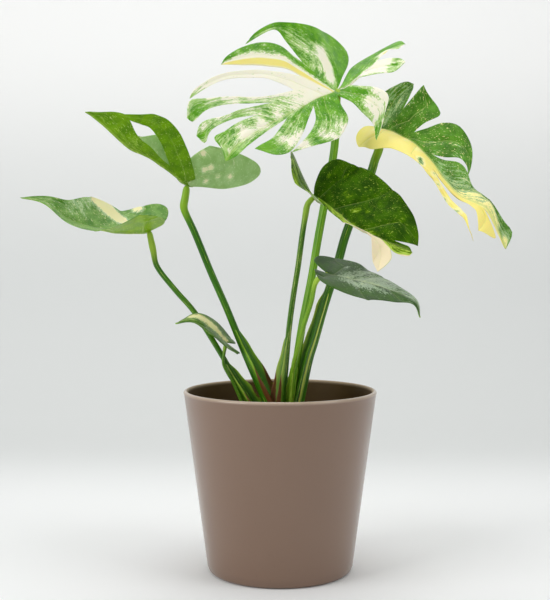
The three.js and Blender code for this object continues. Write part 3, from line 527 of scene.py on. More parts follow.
LEAVES = {
  "top": {
    "spine": [[85, 72, 382], [68, 38, 354], [56, 5, 330], [36, -12, 319], [17, -32, 306],
      [-8, -58, 290], [-28, -80, 276], [-40, -93, 265], [-49, -98, 252]],
    "joint": 2,
    "right": {
      "across": [[-0.3, [-0.2, 0.35, 0.95], -0.003], [0, [-0.2, 0.35, 0.9], -0.003],
        [0.5, [-0.35, 0.4, 0.8], -0.004], [1, [-0.4, 0.3, 0.8], -0.006]],
      "lobes": [
        [3, [[-18, 2], [-45, 2], [-60, 8], [-62, 19], [-56, 33], [-44, 46], [-9, 71], [20, 83],
          [47, 84]], [67, 78], [[30, 78], [23, 62]], [18, 38]],
        [8, [[24, 48], [33, 62], [50, 73], [75, 77], [96, 75]], [107, 70], [[70, 56], [42, 40]],
          [29, 25]],
        [30, [[53, 42], [79, 55], [112, 62], [140, 63]], [150, 59], [[108, 55], [72, 43], [54, 27]],
          [48, 18]],
        [64, [[84, 26], [112, 37], [135, 48], [151, 58]], [162, 50], [[160, 43], [142, 41], [112, 29]],
          [80, 17]],
        [92, [[118, 25], [136, 28], [157, 37]], [167, 34], [[167, 24], [156, 26], [132, 21]],
          [106, 13]],
        [126, [[130, 16], [148, 17], [159, 20], [162, 9]], None, None, None]],
    },
    "left": {
      "across": [[-0.3, [0.85, -0.35, 0.25], -0.001], [-0.12, [0.8, -0.35, 0.05], -0.001],
        [0.05, [0.35, -0.35, -0.85], -0.001], [0.4, [0.3, -0.4, -0.85], -0.001],
        [1, [0.2, -0.5, -0.8], -0.001]],
      "lobes": [
        [1.5, [[-14, 1], [-30, 2], [-46, 5], [-60, 18], [-73, 36], [-78, 48]], [-66, 58],
          [[-57, 53], [-61, 42], [-51, 36]], [-43, 33]],
        [3, [[-43, 44], [-38, 57]], [-31, 64], [[-21, 54], [-22, 36], [-20, 17]], [-11, 6]],
        [8, [[-12, 20], [-12, 36], [-9, 50], [-2, 53]], [10, 64], [[5, 50], [4, 34], [3, 18]],
          [7, 5]],
        [30, [[12, 16], [16, 31], [28, 41], [43, 45], [62, 42], [88, 37]], [106, 34],
          [[88, 31], [66, 25], [50, 17]], [40, 5]],
        [64, [[57, 13], [72, 21], [90, 29], [110, 33], [128, 27]], [140, 13],
          [[130, 13], [112, 13], [94, 8]], [79, 3]],
        [126, [[110, 5], [138, 7], [157, 7], [165, 3]], None, None, None]],
    },
  },
  "right": {
    "spine": [[86, 62, 311], [99, 43, 296], [109, 26, 292], [119, 11, 285], [131, -7, 275],
      [145, -27, 256], [154, -42, 239], [167, -54, 223], [181, -64, 216], [191, -70, 208],
      [205, -80, 174]],
    "joint": 1,
    "left": {
      "across": [[-0.3, [0.1, 0.3, 0.9], 0.002], [0.1, [0.3, 0.35, 0.9], 0.002],
        [0.5, [0.55, 0.4, 0.7], 0.002], [1, [0.6, 0.5, 0.6], 0.002]],
      "lobes": [
        [8, [[-10, 4], [-24, 12], [-28, 30], [-20, 46], [-8, 55]], [3, 57], [[11, 50], [17, 38]],
          [20, 25]],
        [26, [[21, 34], [22, 45]], [22, 57], [[34, 50], [50, 43], [56, 37], [51, 22]], [50, 9]],
        [60, [[58, 20], [64, 34], [74, 43], [88, 43], [104, 38], [118, 30]], [128, 21],
          [[116, 26], [104, 24], [96, 13]], [87, 5]],
        [160, [[98, 10], [108, 21], [122, 23], [146, 15], [157, 12], [172, 8], [188, 9], [201, 13]],
          None, None, None]],
    },
    "right": {
      "across": [[-0.3, [-0.7, -0.6, -0.2], 0.055], [0.1, [-0.5, -0.8, 0], 0.045],
        [0.3, [-0.4, -0.85, -0.15], 0.035],
        [0.5, [-0.3, -0.8, -0.4], 0.01], [1, [-0.3, -0.7, -0.6], 0.003]],
      "lobes": [
        [40, [[-4, 4], [-7, 13], [-4, 25]], [6, 34], [[30, 34]], [58, 26]],
        [92, [[77, 22], [100, 18], [118, 15], [140, 19], [170, 32]], [202, 42],
          [[183, 35], [150, 16], [125, 9]], [100, 6]],
        [126, [[130, 5], [152, 7], [164, 11], [176, 18]], [192, 28], [[203, 12], [195, 8], [180, 6]],
          [168, 4]],
        [160, [[184, 3], [198, 3]], None, None, None]],
    },
  },
  "centre": {
    "spine": [[19, 0, 251], [32, -30, 223], [50, -42, 211], [67, -52, 196], [91, -62, 184],
      [121, -70, 171]],
    "joint": 1,
    "left": {
      "across": [[-0.3, [0.4, 0.4, 0.8], 0.002], [0, [0.4, 0.4, 0.8], 0.003],
        [1, [0.5, 0.5, 0.7], 0.003]],
      "lobes": [
        [10, [[-16, 9], [-30, 22], [-30, 37]], [-14, 48], [[4, 54]], [23, 57]],
        [40, [[40, 59]], [58, 58], [[72, 55]], [84, 49]],
        [80, [[98, 38], [109, 22]], [114, 9], [[104, 7]], [92, 4]],
        [95, [[100, 4], [107, 4]], None, None, None]],
    },
    "right": {
      "across": [[-0.3, [-0.3, -0.75, 0.6], 0.001], [-0.1, [-0.3, -0.75, 0.5], 0.001],
        [0.08, [-0.3, -0.85, 0.2], 0.001], [0.62, [-0.3, -0.85, 0.1], 0.001],
        [0.76, [-0.2, -0.6, -0.7], 0.002], [1, [-0.1, -0.6, -0.7], 0.002]],
      "lobes": [
        [10, [[-16, 8], [-31, 20], [-31, 36]], [-12, 48], [[6, 53]], [24, 56]],
        [40, [[38, 55], [48, 52]], [57, 47], [[62, 36], [66, 24]], [74, 11]],
        [80, [[78, 18], [84, 27]], [93, 36], [[97, 26], [98, 16]], [93, 7]],
        [95, [[98, 9], [105, 9], [111, 6]], None, None, None]],
    },
  },
  "low_right": {
    "spine": [[26, -48, 157], [44, -55, 151], [62, -68, 147], [90, -78, 140], [107, -82, 134],
      [122, -86, 126], [127, -88, 112]],
    "joint": 1,
    "left": {
      "across": [[-0.3, [0, 0.8, 0.6], 0.003], [0.3, [0.2, 0.9, 0.3], 0.004],
        [1, [0.2, 0.9, 0.15], 0.004]],
      "lobes": [
        [12, [[-10, 5], [-20, 13], [-19, 24]], [-7, 32], [[8, 36]], [24, 37]],
        [44, [[38, 35]], [52, 30], [[60, 26]], [68, 21]],
        [78, [[80, 14], [92, 6]], None, None, None]],
    },
    "right": {
      "across": [[-0.3, [0.05, -0.9, 0.15], 0.003], [0.3, [0.05, -0.9, -0.3], 0.003],
        [1, [-0.2, -0.8, -0.6], 0.003]],
      "lobes": [
        [12, [[-6, 4], [-9, 10], [-7, 18]], [0, 24], [[11, 30]], [24, 34]],
        [44, [[38, 35]], [52, 31], [[60, 26]], [68, 21]],
        [78, [[80, 14], [92, 6]], None, None, None]],
    },
  },
  "upper_left": {
    "spine": [[-75, 25, 223], [-91, 0, 235], [-104, -16, 246], [-124, -38, 260], [-140, -55, 267],
      [-162, -72, 287], [-176, -80, 298]],
    "joint": 1,
    "right": {
      "across": [[-0.3, [0.85, 0.45, 0.25], 0.002], [0.1, [0.7, 0.6, 0.3], 0.002],
        [1, [0.5, 0.8, 0.15], 0.002]],
      "lobes": [
        [20, [[-16, 8], [-40, 20], [-60, 38], [-66, 54], [-56, 61], [-38, 60], [-18, 54]], [2, 46],
          [[9, 34]], [15, 20]],
        [60, [[22, 29], [32, 34]], [44, 31], [[56, 23], [68, 17]], [80, 15]],
        [100, [[100, 16], [120, 8]], None, None, None]],
    },
    "left": {
      "across": [[-0.3, [0.2, -0.35, 0.9], 0.002], [1, [0.1, -0.4, 0.8], 0.002]],
      "lobes": [
        [20, [[-9, 4], [-4, 11], [12, 20], [30, 29], [48, 37], [66, 40], [88, 37]], [112, 17],
          [[100, 20], [88, 24], [74, 26], [56, 19], [42, 11]], [31, 5]],
        [100, [[45, 6], [62, 10], [85, 15], [104, 21], [114, 17], [125, 7]], None, None, None]],
    },
  },
  "left": {
    "spine": [[-104, 9, 195], [-128, 0, 191], [-155, -10, 190], [-182, -20, 195], [-204, -30, 204],
      [-222, -36, 218], [-244, -42, 223]],
    "joint": 1,
    "right": {
      "across": [[-0.3, [0, 0.6, 0.8], 0.002], [0.15, [0.2, 0.85, 0.45], 0.002],
        [0.45, [0.1, 0.75, 0.75], 0.002], [1, [0.1, 0.75, 0.5], 0.002]],
      "lobes": [
        [14, [[-10, 5], [-22, 13], [-27, 26], [-20, 37]], [-4, 42], [[12, 44]], [30, 45]],
        [55, [[46, 44]], [62, 40], [[72, 35]], [82, 29]],
        [92, [[97, 17], [112, 7]], None, None, None]],
    },
    "left": {
      "across": [[-0.3, [-0.1, -0.9, 0.25], 0.002], [0.15, [-0.1, -0.85, 0.33], 0.002],
        [0.5, [0.1, -0.95, -0.04], 0.002], [1, [0.1, -0.95, -0.3], 0.002]],
      "lobes": [
        [14, [[-6, 5], [-12, 13], [-11, 25]], [-2, 36], [[12, 42]], [28, 45]],
        [55, [[46, 45]], [62, 41], [[72, 36]], [82, 29]],
        [92, [[97, 17], [112, 7]], None, None, None]],
    },
  },
  "small": {
    "spine": [[-43, 0, 75], [-53, -6, 83], [-67, -14, 98], [-83, -20, 108], [-101, -24, 103]],
    "joint": 1,
    "right": {
      "across": [[-0.3, [0.3, 0.75, 0.1], 0.012], [1, [0.3, 0.8, 0.15], 0.012]],
      "lobes": [
        [10, [[-7, 4], [-14, 10]], [-10, 16], [[0, 19]], [12, 19]],
        [40, [[28, 17], [45, 9]], None, None, None]],
    },
    "left": {
      "across": [[-0.3, [0.4, -0.8, -0.2], 0.008], [0.2, [0.2, -0.8, -0.3], 0.008],
        [1, [0.1, -0.7, -0.5], 0.008]],
      "lobes": [
        [10, [[-7, 4], [-14, 10]], [-10, 16], [[0, 19]], [12, 19]],
        [40, [[28, 17], [45, 9]], None, None, None]],
    },
  },
}

# Where each leaf is cream, and where a painted sheen is laid on: two amounts for each lobe, from 0, green,
# over 0.5, marbled, to 1, cream, and above 1 a richer cream. A spot is [s, v, radius, amount to add], with v
# positive on the left half.
PAINT = {
  # Painted sheen on the top blade: the right half's first lobe rises towards pale, and the spots at v 22 to
  # 48 lay white sheen patches on the left half's lobes.
  "top": {"left": [0.2, 0.36, 0.9, 0.75, 0.24, 0.28, 0.26, 0.3, 0.3, 0.34, 0.42, 0.5],
          "right": [0.16, 0.42, 0.2, 1.3, 0.75, 0.88, 0.66, 0.5, 0.5, 0.42, 0.48, 0.6],
          "spots": [[-3, -12, 6, 0.45], [-9, -22, 9, 0.45], [-16, -34, 11, 0.5], [-31, 53, 8, -0.5],
                    [60, -4, 6, 0.25], [85, -4, 6, 0.25], [110, -4, 6, 0.25], [132, -3, 6, 0.25],
                    [12, -50, 18, 0.1], [146, -55, 12, -0.4], [-57, 38, 6, 0.6], [-4, 46, 12, 0.42],
                    [-4, 33, 6, 0.2], [30, 38, 11, 0.42], [54, 34, 9, 0.4], [46, 48, 8, 0.4],
                    [96, 26, 12, 0.42], [84, 40, 8, 0.4], [80, 22, 8, 0.3], [130, 22, 10, -0.2],
                    [172, 0, 9, -0.35], [150, -8, 10, -0.1]]},
  # Painted sheen on the right blade: the left half's first lobe is raised towards pale.
  "right": {"left": [0.36, 0.4, 0.2, 0.2, 0.2, 0.25, 0.36, 0.66],
            "right": [1.2, 1.3, 1.3, 1.3, 1.3, 1.2, 1.0, 0.9],
            "spots": [[90, -13, 4, -1.0], [97, -16, 4, -1.0], [112, -9, 4, -0.7], [125, -13, 4, -0.8],
                      [140, -19, 4, -0.85], [158, -26, 6, -0.9], [15, -4, 9, -0.3],
                      [35, -4, 9, -0.3], [55, -4, 9, -0.3], [75, -4, 9, -0.3], [198, 0, 5, -0.3],
                      [5, 30, 9, 0.1]]},
  "centre": {"left": [0.1, 0.1, 0.1, 0.1, 0.12, 0.14, 0.2, 0.26],
             "right": [0.42, 0.46, 0.46, 0.7, 1.6, 1.6, 0.5, 0.5],
             "spots": [[-14, 24, 5, 0.4], [4, 38, 5, 0.4], [34, 42, 5, 0.34], [42, 14, 5, 0.4],
                       [54, 19, 4, 0.4], [24, 20, 5, 0.3], [50, -7, 7, 1.1], [66, -7, 8, 1.1],
                       [108, -8, 5, 0.4]]},
  # Painted sheen on the low_right blade: the middle of its left half is raised to pale.
  "low_right": {"left": [0.14, 0.3, 0.46, 0.48, 0.46, 0.3], "right": [0.14, 0.16, 0.2, 0.2, 0.14, 0.14],
                "spots": [[24, -8, 9, 0.3], [42, -8, 10, 0.34], [60, -7, 9, 0.3], [8, 20, 3, 0.3],
                          [84, -2, 9, 0.2]]},
  "upper_left": {"left": [0.16, 0.18, 0.24, 0.3], "right": [0.25, 0.25, 0.2, 0.2, 0.22, 0.25],
                 "spots": [[4, -36, 4.5, 0.55], [-6, -23, 4, 0.55], [-11, -29, 4, 0.55],
                           [-36, -34, 4, 0.5], [-16, -15, 4, 0.5], [-24, -26, 3.5, 0.45],
                           [80, 3, 10, 0.2], [60, 2, 8, 0.1]]},
  "left": {"left": [0.25, 0.2, 0.2, 0.25], "right": [0.22, 0.16, 0.2, 0.25, 0.3, 0.3],
           "spots": [[51, -43, 10, 0.75], [41, -37, 10, 0.75], [32, -30, 10, 0.75], [24, -22, 9, 0.7],
                     [2, -40, 8, 0.65], [74, -25, 12, 0.2], [43, -16, 6, -0.15]]},
  "small": {"left": [0.2, 0.3], "right": [0.2, 0.2],
            "spots": [[0, -3, 5, 0.5], [9, -3, 5, 0.5], [18, -4, 6, 0.6], [27, -5, 6, 0.6],
                      [36, -5, 6, 0.6], [45, -3, 5, 0.5]]},
}


def straight(start, end, steps):
    """steps + 1 even points from start to end."""
    return np.linspace(start, end, steps + 1)


def interpolate(at, run, points):
    """The points (n, 3), given at distances run, read at the distances at."""
    return np.stack([np.interp(at, run, column) for column in points.T], axis=-1)


class Spine:
    """The midrib's curve, with distances measured from the joint."""

    def __init__(self, leaf):
        self.points = smooth_line(leaf["spine"], 1500)
        self.run = np.concatenate([[0], np.cumsum(np.linalg.norm(np.diff(self.points, axis=0), axis=1))])
        joint = np.linalg.norm(self.points - np.array(leaf["spine"][leaf["joint"]]), axis=1).argmin()
        self.whole = self.run[-1]
        self.behind = self.run[joint]
        self.length = self.whole - self.behind

    def place(self, s, v, across, sign):
        """Bends flat points into space: M(s) + D sin(kv)/k - U (1 - cos(kv))/k.

        M is the midrib, D the direction of spread turned square to the midrib's averaged run, U the
        upper side and k the curl; sign is 1 on the left half and -1 on the right.
        """
        at = np.clip(s + self.behind, 0, self.whole)
        reach = RUN_SHARE * self.whole
        point = interpolate(at, self.run, self.points)
        tangent = unit(interpolate(np.minimum(at + 0.5, self.whole), self.run, self.points)
                       - interpolate(np.maximum(at - 0.5, 0), self.run, self.points))
        point += tangent * (s + self.behind - at)[:, None]
        run = unit(interpolate(np.minimum(at + reach, self.whole), self.run, self.points)
                   - interpolate(np.maximum(at - reach, 0), self.run, self.points))
        stations = np.array([station[0] for station in across])
        headings = unit(np.array([station[1] for station in across], float))
        spread = interpolate(s / self.length, stations, headings)
        spread = unit(spread - (spread * run).sum(axis=1, keepdims=True) * run)
        upper = np.cross(run, spread) * sign
        curl = np.interp(s / self.length, stations, [station[2] for station in across])[:, None]
        bend = curl * v[:, None]
        return point + spread * np.sin(bend) / curl - upper * (1 - np.cos(bend)) / curl


def lobe_edges(lobes, tip):
    """For each lobe of a half: where its root starts and ends, and its two side edges and tip."""
    rows = ROWS_TO_CUT + ROWS_PAST_CUT
    start, cut, made = 0, None, []
    for end, back_points, lobe_tip, front_points, next_cut in lobes:
        top = lobe_tip or tip
        if cut is None:
            back = smooth_line([[0, 0], *back_points, top], rows)
        else:
            back = np.vstack([straight([start, 0], cut, ROWS_TO_CUT),
                              smooth_line([cut, *back_points, top], ROWS_PAST_CUT)[1:]])
        if next_cut is None:
            front = straight([end, 0], tip, rows)
        else:
            front = np.vstack([straight([end, 0], next_cut, ROWS_TO_CUT),
                               smooth_line([top, *front_points, next_cut], ROWS_PAST_CUT)[::-1][1:]])
        made.append((start, end, back, front, top))
        start, cut = end, next_cut
    return made


def leaf_layout(leaf, paint, tip):
    """The flat grid of every lobe: s, v, side, and the distances and paint that its pattern follows.

    vein_x is the distance from the lobe's own side vein, vein_y the distance out along it.
    """
    halves = {1: lobe_edges(leaf["left"]["lobes"], tip), -1: lobe_edges(leaf["right"]["lobes"], tip)}
    marks = sorted({0, *(lobe[1] for lobes in halves.values() for lobe in lobes)})
    stations = [np.zeros(1)]
    for low, high in zip(marks[:-1], marks[1:]):
        widths = [np.linalg.norm(front - back, axis=1).max() * (high - low) / (end - start)
                  for lobes in halves.values() for start, end, back, front, _ in lobes
                  if start <= low and high <= end]
        count = max(2, math.ceil(max(widths) / COLUMN_WIDTH))
        stations.append(np.linspace(low, high, count + 1)[1:])
    stations = np.concatenate(stations)
    columns = {name: [] for name in ("s", "v", "side", "vein_x", "vein_y", "amount", "lobe")}
    faces, count = [], 0
    for side, lobes in halves.items():
        amounts = paint["left" if side == 1 else "right"]
        for order, (start, end, back, front, top) in enumerate(lobes):
            roots = stations[(stations >= start) & (stations <= end)]
            share = (roots - start) / (end - start)
            grid = back[:, None] * (1 - share)[:, None] + front[:, None] * share[:, None]
            grid[-1] = top
            width = np.linalg.norm(front - back, axis=1)
            width[-1] = 0
            root_points = np.column_stack([roots, np.zeros(len(roots))])
            amount = np.interp(2 * (order + share), np.arange(len(amounts)) + 0.5, amounts)
            quads = grid_faces(len(back), len(roots), first=count)
            faces.append(quads if side == 1 else quads[:, ::-1])
            count += grid.shape[0] * grid.shape[1]
            size = grid.shape[:2]
            columns["s"].append(grid[..., 0].ravel())
            columns["v"].append(grid[..., 1].ravel())
            columns["side"].append(np.full(size, side).ravel())
            columns["vein_x"].append(((share - 0.5) * width[:, None]).ravel())
            columns["vein_y"].append(np.linalg.norm(grid - root_points, axis=-1).ravel())
            columns["amount"].append(np.broadcast_to(amount, size).ravel())
            columns["lobe"].append(np.full(size, order + (10 if side == 1 else 20)).ravel())
    flat = {name: np.concatenate(parts) for name, parts in columns.items()}
    for s, v, radius, amount in paint["spots"]:
        away = np.hypot(flat["s"] - s, flat["v"] * flat["side"] - v)
        flat["amount"] = flat["amount"] + amount * np.exp(-(away / radius) ** 2)
    return flat, triangles_of(np.concatenate(faces))


def vertex_normals(points, faces):
    """Area-weighted unit normals of the points."""
    a, b, c = (points[faces[:, k]] for k in range(3))
    area = np.cross(b - a, c - a)
    normals = np.zeros_like(points)
    for k in range(3):
        np.add.at(normals, faces[:, k], area)
    return unit(normals)


def open_edges(faces):
    """The directed edges that only one triangle uses."""
    edges = np.concatenate([faces[:, [0, 1]], faces[:, [1, 2]], faces[:, [2, 0]]])
    _, first, count = np.unique(np.sort(edges, axis=1), axis=0, return_index=True, return_counts=True)
    return edges[first[count == 1]]


def rim_walls(rim, count):
    """Triangles that join the open edges of a sheet of count points to those of its copy beneath it."""
    return np.concatenate([np.column_stack([rim[:, 0], rim[:, 0] + count, rim[:, 1] + count]),
                           np.column_stack([rim[:, 0], rim[:, 1] + count, rim[:, 1]])])


def leaf_mesh(name):
    """Points, triangles, UV maps and material numbers of one leaf, top sheet first, then under, then rim."""
    leaf = LEAVES[name]
    spine = Spine(leaf)
    flat, corners = leaf_layout(leaf, PAINT[name], [spine.length, 0])
    key = np.column_stack([np.round(flat["s"], 3), np.round(flat["v"], 3),
                           np.where(np.abs(flat["v"]) < 1e-3, 0, flat["side"])])
    _, first, merged = np.unique(key, axis=0, return_index=True, return_inverse=True)
    merged = merged.ravel()
    faces = merged[corners]
    real = (faces[:, 0] != faces[:, 1]) & (faces[:, 1] != faces[:, 2]) & (faces[:, 2] != faces[:, 0])
    faces, corners = faces[real], corners[real]
    s, v, side = flat["s"][first], flat["v"][first], flat["side"][first]
    vein, out = flat["vein_x"][first], flat["vein_y"][first]
    sheet = np.where((side == 1)[:, None], spine.place(s, v, leaf["left"]["across"], 1),
                     spine.place(s, v, leaf["right"]["across"], -1))
    # Relief: the midrib and side veins lie in shallow grooves, the blade swells a little between
    # them, and the margin waves.
    groove = (-SIDE_GROOVE * np.exp(-(vein / SIDE_GROOVE_WIDTH) ** 2) * smoothstep(out, 0, 6)
              - MIDRIB_GROOVE * np.exp(-(v / MIDRIB_GROOVE_WIDTH) ** 2))
    swell = SWELL * smoothstep(np.abs(vein), 1, 7)
    margin = LEAF_WAVE * ripples(s, v * side, WAVE_LENGTH, len(name)) * smoothstep(v, 8, 50)
    sheet = sheet + vertex_normals(sheet, faces) * (groove + swell + 3 * margin)[:, None]
    normal = vertex_normals(sheet, faces)
    rim = open_edges(faces)
    half = np.full(len(sheet), BLADE_THICKNESS / 2)
    half[rim.ravel()] *= RIM_SHARE
    rib = MIDRIB_DEPTH * np.exp(-(v / MIDRIB_WIDTH) ** 2) * np.clip(1 - 0.8 * s / spine.length, 0.1, 1)
    rib += (SIDE_RIB_DEPTH * np.exp(-(vein / SIDE_RIB_WIDTH) ** 2) * smoothstep(out, 0, 4)
            * smoothstep(-out, -60, -20))
    rib[rim.ravel()] = 0
    points = np.concatenate([sheet + normal * half[:, None], sheet - normal * (half + rib)[:, None]])
    n = len(sheet)
    walls = rim_walls(rim, n)
    triangles = np.concatenate([faces, faces[:, ::-1] + n, walls])
    wall_corners = first[walls % n]
    every = np.concatenate([corners, corners[:, ::-1], wall_corners])
    uvs = {"flat": np.stack([flat["s"], flat["v"] * flat["side"]], axis=-1)[every] / MAP_UNIT,
           "vein": np.stack([flat["vein_x"], flat["vein_y"]], axis=-1)[every] / MAP_UNIT,
           "paint": np.stack([flat["amount"], flat["lobe"] / 10], axis=-1)[every]}
    which = np.concatenate([np.zeros(len(faces)), np.ones(len(faces)), np.zeros(len(walls))])
    return points * MM + [0, 0, PLANT_BASE], triangles, uvs, which


# The pattern of a variegated blade: streaks along the side veins, patches and fine flecks are summed
# with the painted amount, and the sum is cut into green, pale green and cream. Where a painted sheen is
# laid on, the pale green paints it, and on the top blade the cream paints its white patches. Each pair
# says where one of these starts and where it is full.
PALE_AND_SHEEN_LEVELS = (0.34, 0.5)
CREAM_AND_SHEEN_LEVELS = (0.56, 0.62)
RICH_AMOUNTS = (0.98, 1.15)
SPECK_LEVELS = (0.615, 0.65)
leaf_pattern = group = bpy.data.node_groups.new("leaf_pattern", "ShaderNodeTree")
for socket, kind in (("Flat", "Vector"), ("Vein", "Vector"), ("Paint", "Vector"), ("Dark", "Color"),
                     ("Light", "Color"), ("Pale and sheen", "Color"), ("Cream and sheen white", "Color"), ("Rich", "Color"),
                     ("Vein colour", "Color"),
                     ("Vein strength", "Float"), ("Marbling", "Float"), ("Flecks", "Float")):
    group.interface.new_socket(socket, in_out="INPUT", socket_type="NodeSocket" + kind)
for socket, kind in (("Colour", "Color"), ("Roughness", "Float"), ("Height", "Float")):
    group.interface.new_socket(socket, in_out="OUTPUT", socket_type="NodeSocket" + kind)
given = node(group, "NodeGroupInput").outputs
result = node(group, "NodeGroupOutput").inputs
flat_uv = node(group, "SeparateXYZ", {0: given["Flat"]}).outputs
vein_uv = node(group, "SeparateXYZ", {0: given["Vein"]}).outputs
paint_uv = node(group, "SeparateXYZ", {0: given["Paint"]}).outputs
lobe_seed = calc(group, "MULTIPLY", paint_uv["Y"], 37.0)
streak_place = node(group, "CombineXYZ", {
    0: calc(group, "MULTIPLY", vein_uv["X"], 32.0),
    1: calc(group, "MULTIPLY", vein_uv["Y"], 5.0), 2: lobe_seed}).outputs[0]
streak = node(group, "TexNoise", {"Vector": streak_place, "Scale": 1, "Detail": 6,
                                         "Roughness": 0.62}).outputs["Fac"]
patch = node(group, "TexNoise", {"Vector": given["Flat"], "Scale": 8, "Detail": 4,
                                        "Roughness": 0.6}).outputs["Fac"]
fleck_place = node(group, "CombineXYZ", {
    0: calc(group, "MULTIPLY", vein_uv["X"], 90.0),
    1: calc(group, "MULTIPLY", vein_uv["Y"], 42.0), 2: lobe_seed}).outputs[0]
fleck = node(group, "TexNoise", {"Vector": fleck_place, "Scale": 1, "Detail": 4,
                                        "Roughness": 0.65}).outputs["Fac"]
wander = calc(group, "ADD", calc(group, "MULTIPLY_ADD", streak, 1.5, -0.75),
              calc(group, "MULTIPLY_ADD", patch, 0.9, -0.45))
level = calc(group, "ADD", calc(group, "MULTIPLY", wander, given["Marbling"]),
             calc(group, "MULTIPLY_ADD", fleck, 0.8, -0.4))
level = calc(group, "ADD", level, paint_uv["X"])
tone = ramp(group, patch, 0.35, 0.65)
green = blend_colour(group, tone, given["Dark"], given["Light"])
# Pale green: the blade's own pale marbling, and also its painted sheen.
pale_and_sheen_part = ramp(group, level, *PALE_AND_SHEEN_LEVELS)
# Cream: the blade's own cream, and on the top blade also painted white sheen patches.
cream_and_sheen_part = ramp(group, level, *CREAM_AND_SHEEN_LEVELS)
specks = calc(group, "MULTIPLY", ramp(group, fleck, *SPECK_LEVELS), given["Flecks"])
cream_and_sheen_part = calc(group, "MAXIMUM", cream_and_sheen_part, specks)
tinted = blend_colour(group, pale_and_sheen_part, green, given["Pale and sheen"])
cream = blend_colour(group, ramp(group, paint_uv["X"], *RICH_AMOUNTS),
                     given["Cream and sheen white"], given["Rich"])
tinted = blend_colour(group, cream_and_sheen_part, tinted, cream)
side_vein = ramp(group, calc(group, "ABSOLUTE", vein_uv["X"]), 0.002, 0.009, 1.0, 0.0)
side_vein = calc(group, "MULTIPLY", side_vein, ramp(group, vein_uv["Y"], 0.1, 0.6, 1.0, 0.35))
midrib = ramp(group, calc(group, "ABSOLUTE", flat_uv["Y"]), 0.006, 0.016, 1.0, 0.0)
veins = calc(group, "MAXIMUM", side_vein, midrib)
net_place = node(group, "CombineXYZ", {
    0: calc(group, "ABSOLUTE", vein_uv["X"]), 1: vein_uv["Y"], 2: lobe_seed}).outputs[0]
net = node(group, "TexVoronoi", {"Vector": net_place, "Scale": 32, "Randomness": 0.9},
           feature="DISTANCE_TO_EDGE").outputs["Distance"]
net_line = ramp(group, net, 0.0, 0.07, 1.0, 0.0)
veins_shown = calc(group, "MULTIPLY", given["Vein strength"], calc(
    group, "MAXIMUM", veins, calc(group, "MULTIPLY", net_line, 0.16)))
colour = blend_colour(group, veins_shown, tinted, given["Vein colour"])
group.links.new(colour, result["Colour"])
group.links.new(ramp(group, patch, 0.3, 0.7, 0.30, 0.44), result["Roughness"])
relief = calc(group, "SUBTRACT", calc(group, "MULTIPLY", fleck, 0.5),
              calc(group, "MULTIPLY_ADD", veins, 0.8, calc(group, "MULTIPLY", net_line, 0.35)))
group.links.new(relief, result["Height"])


def leaf_material(name, dark, light, pale, cream, rich, vein_colour, vein_strength, marbling, flecks, gloss):
    """A living blade: satin cuticle over the pattern, with a little light passing through."""
    material, tree, output = new_material(name)
    maps = {socket: node(tree, "UVMap", uv_map=layer).outputs[0]
            for socket, layer in (("Flat", "flat"), ("Vein", "vein"), ("Paint", "paint"))}
    pattern = node(tree, "Group", node_tree=leaf_pattern)
    for socket, value in maps.items():
        tree.links.new(value, pattern.inputs[socket])
    for socket, value in (("Dark", dark), ("Light", light), ("Pale and sheen", pale), ("Cream and sheen white", cream),
                          ("Rich", rich),
                          ("Vein colour", vein_colour), ("Vein strength", vein_strength),
                          ("Marbling", marbling), ("Flecks", flecks)):
        pattern.inputs[socket].default_value = value
    bump = node(tree, "Bump", {"Height": pattern.outputs["Height"], "Strength": 0.25, "Distance": 0.0004})
    shader = node(tree, "BsdfPrincipled", {
        "Base Color": pattern.outputs["Colour"], "Roughness": pattern.outputs["Roughness"],
        "Normal": bump.outputs[0], "Subsurface Weight": 0.25, "Subsurface Scale": 0.0015,
        "Subsurface Radius": (0.6, 1.0, 0.2), "Specular IOR Level": gloss})
    tree.links.new(shader.outputs[0], output.inputs["Surface"])
    return material


# The cream of the variegation; on the top blade it also paints the white patches of a painted sheen.
CREAM_AND_SHEEN_WHITE = srgb(252, 248, 226)
UPPER_VEIN = srgb(196, 212, 120)
UNDER_VEIN = srgb(190, 215, 110)
UNDER_VEIN_STRENGTH = 0.28
UNDER_GLOSS = 0.7  # share of the upper side's gloss
SOFT_YELLOW = srgb(246, 230, 130)
PALE_YELLOW = srgb(246, 236, 160)
PINK_CREAM = srgb(240, 226, 190)
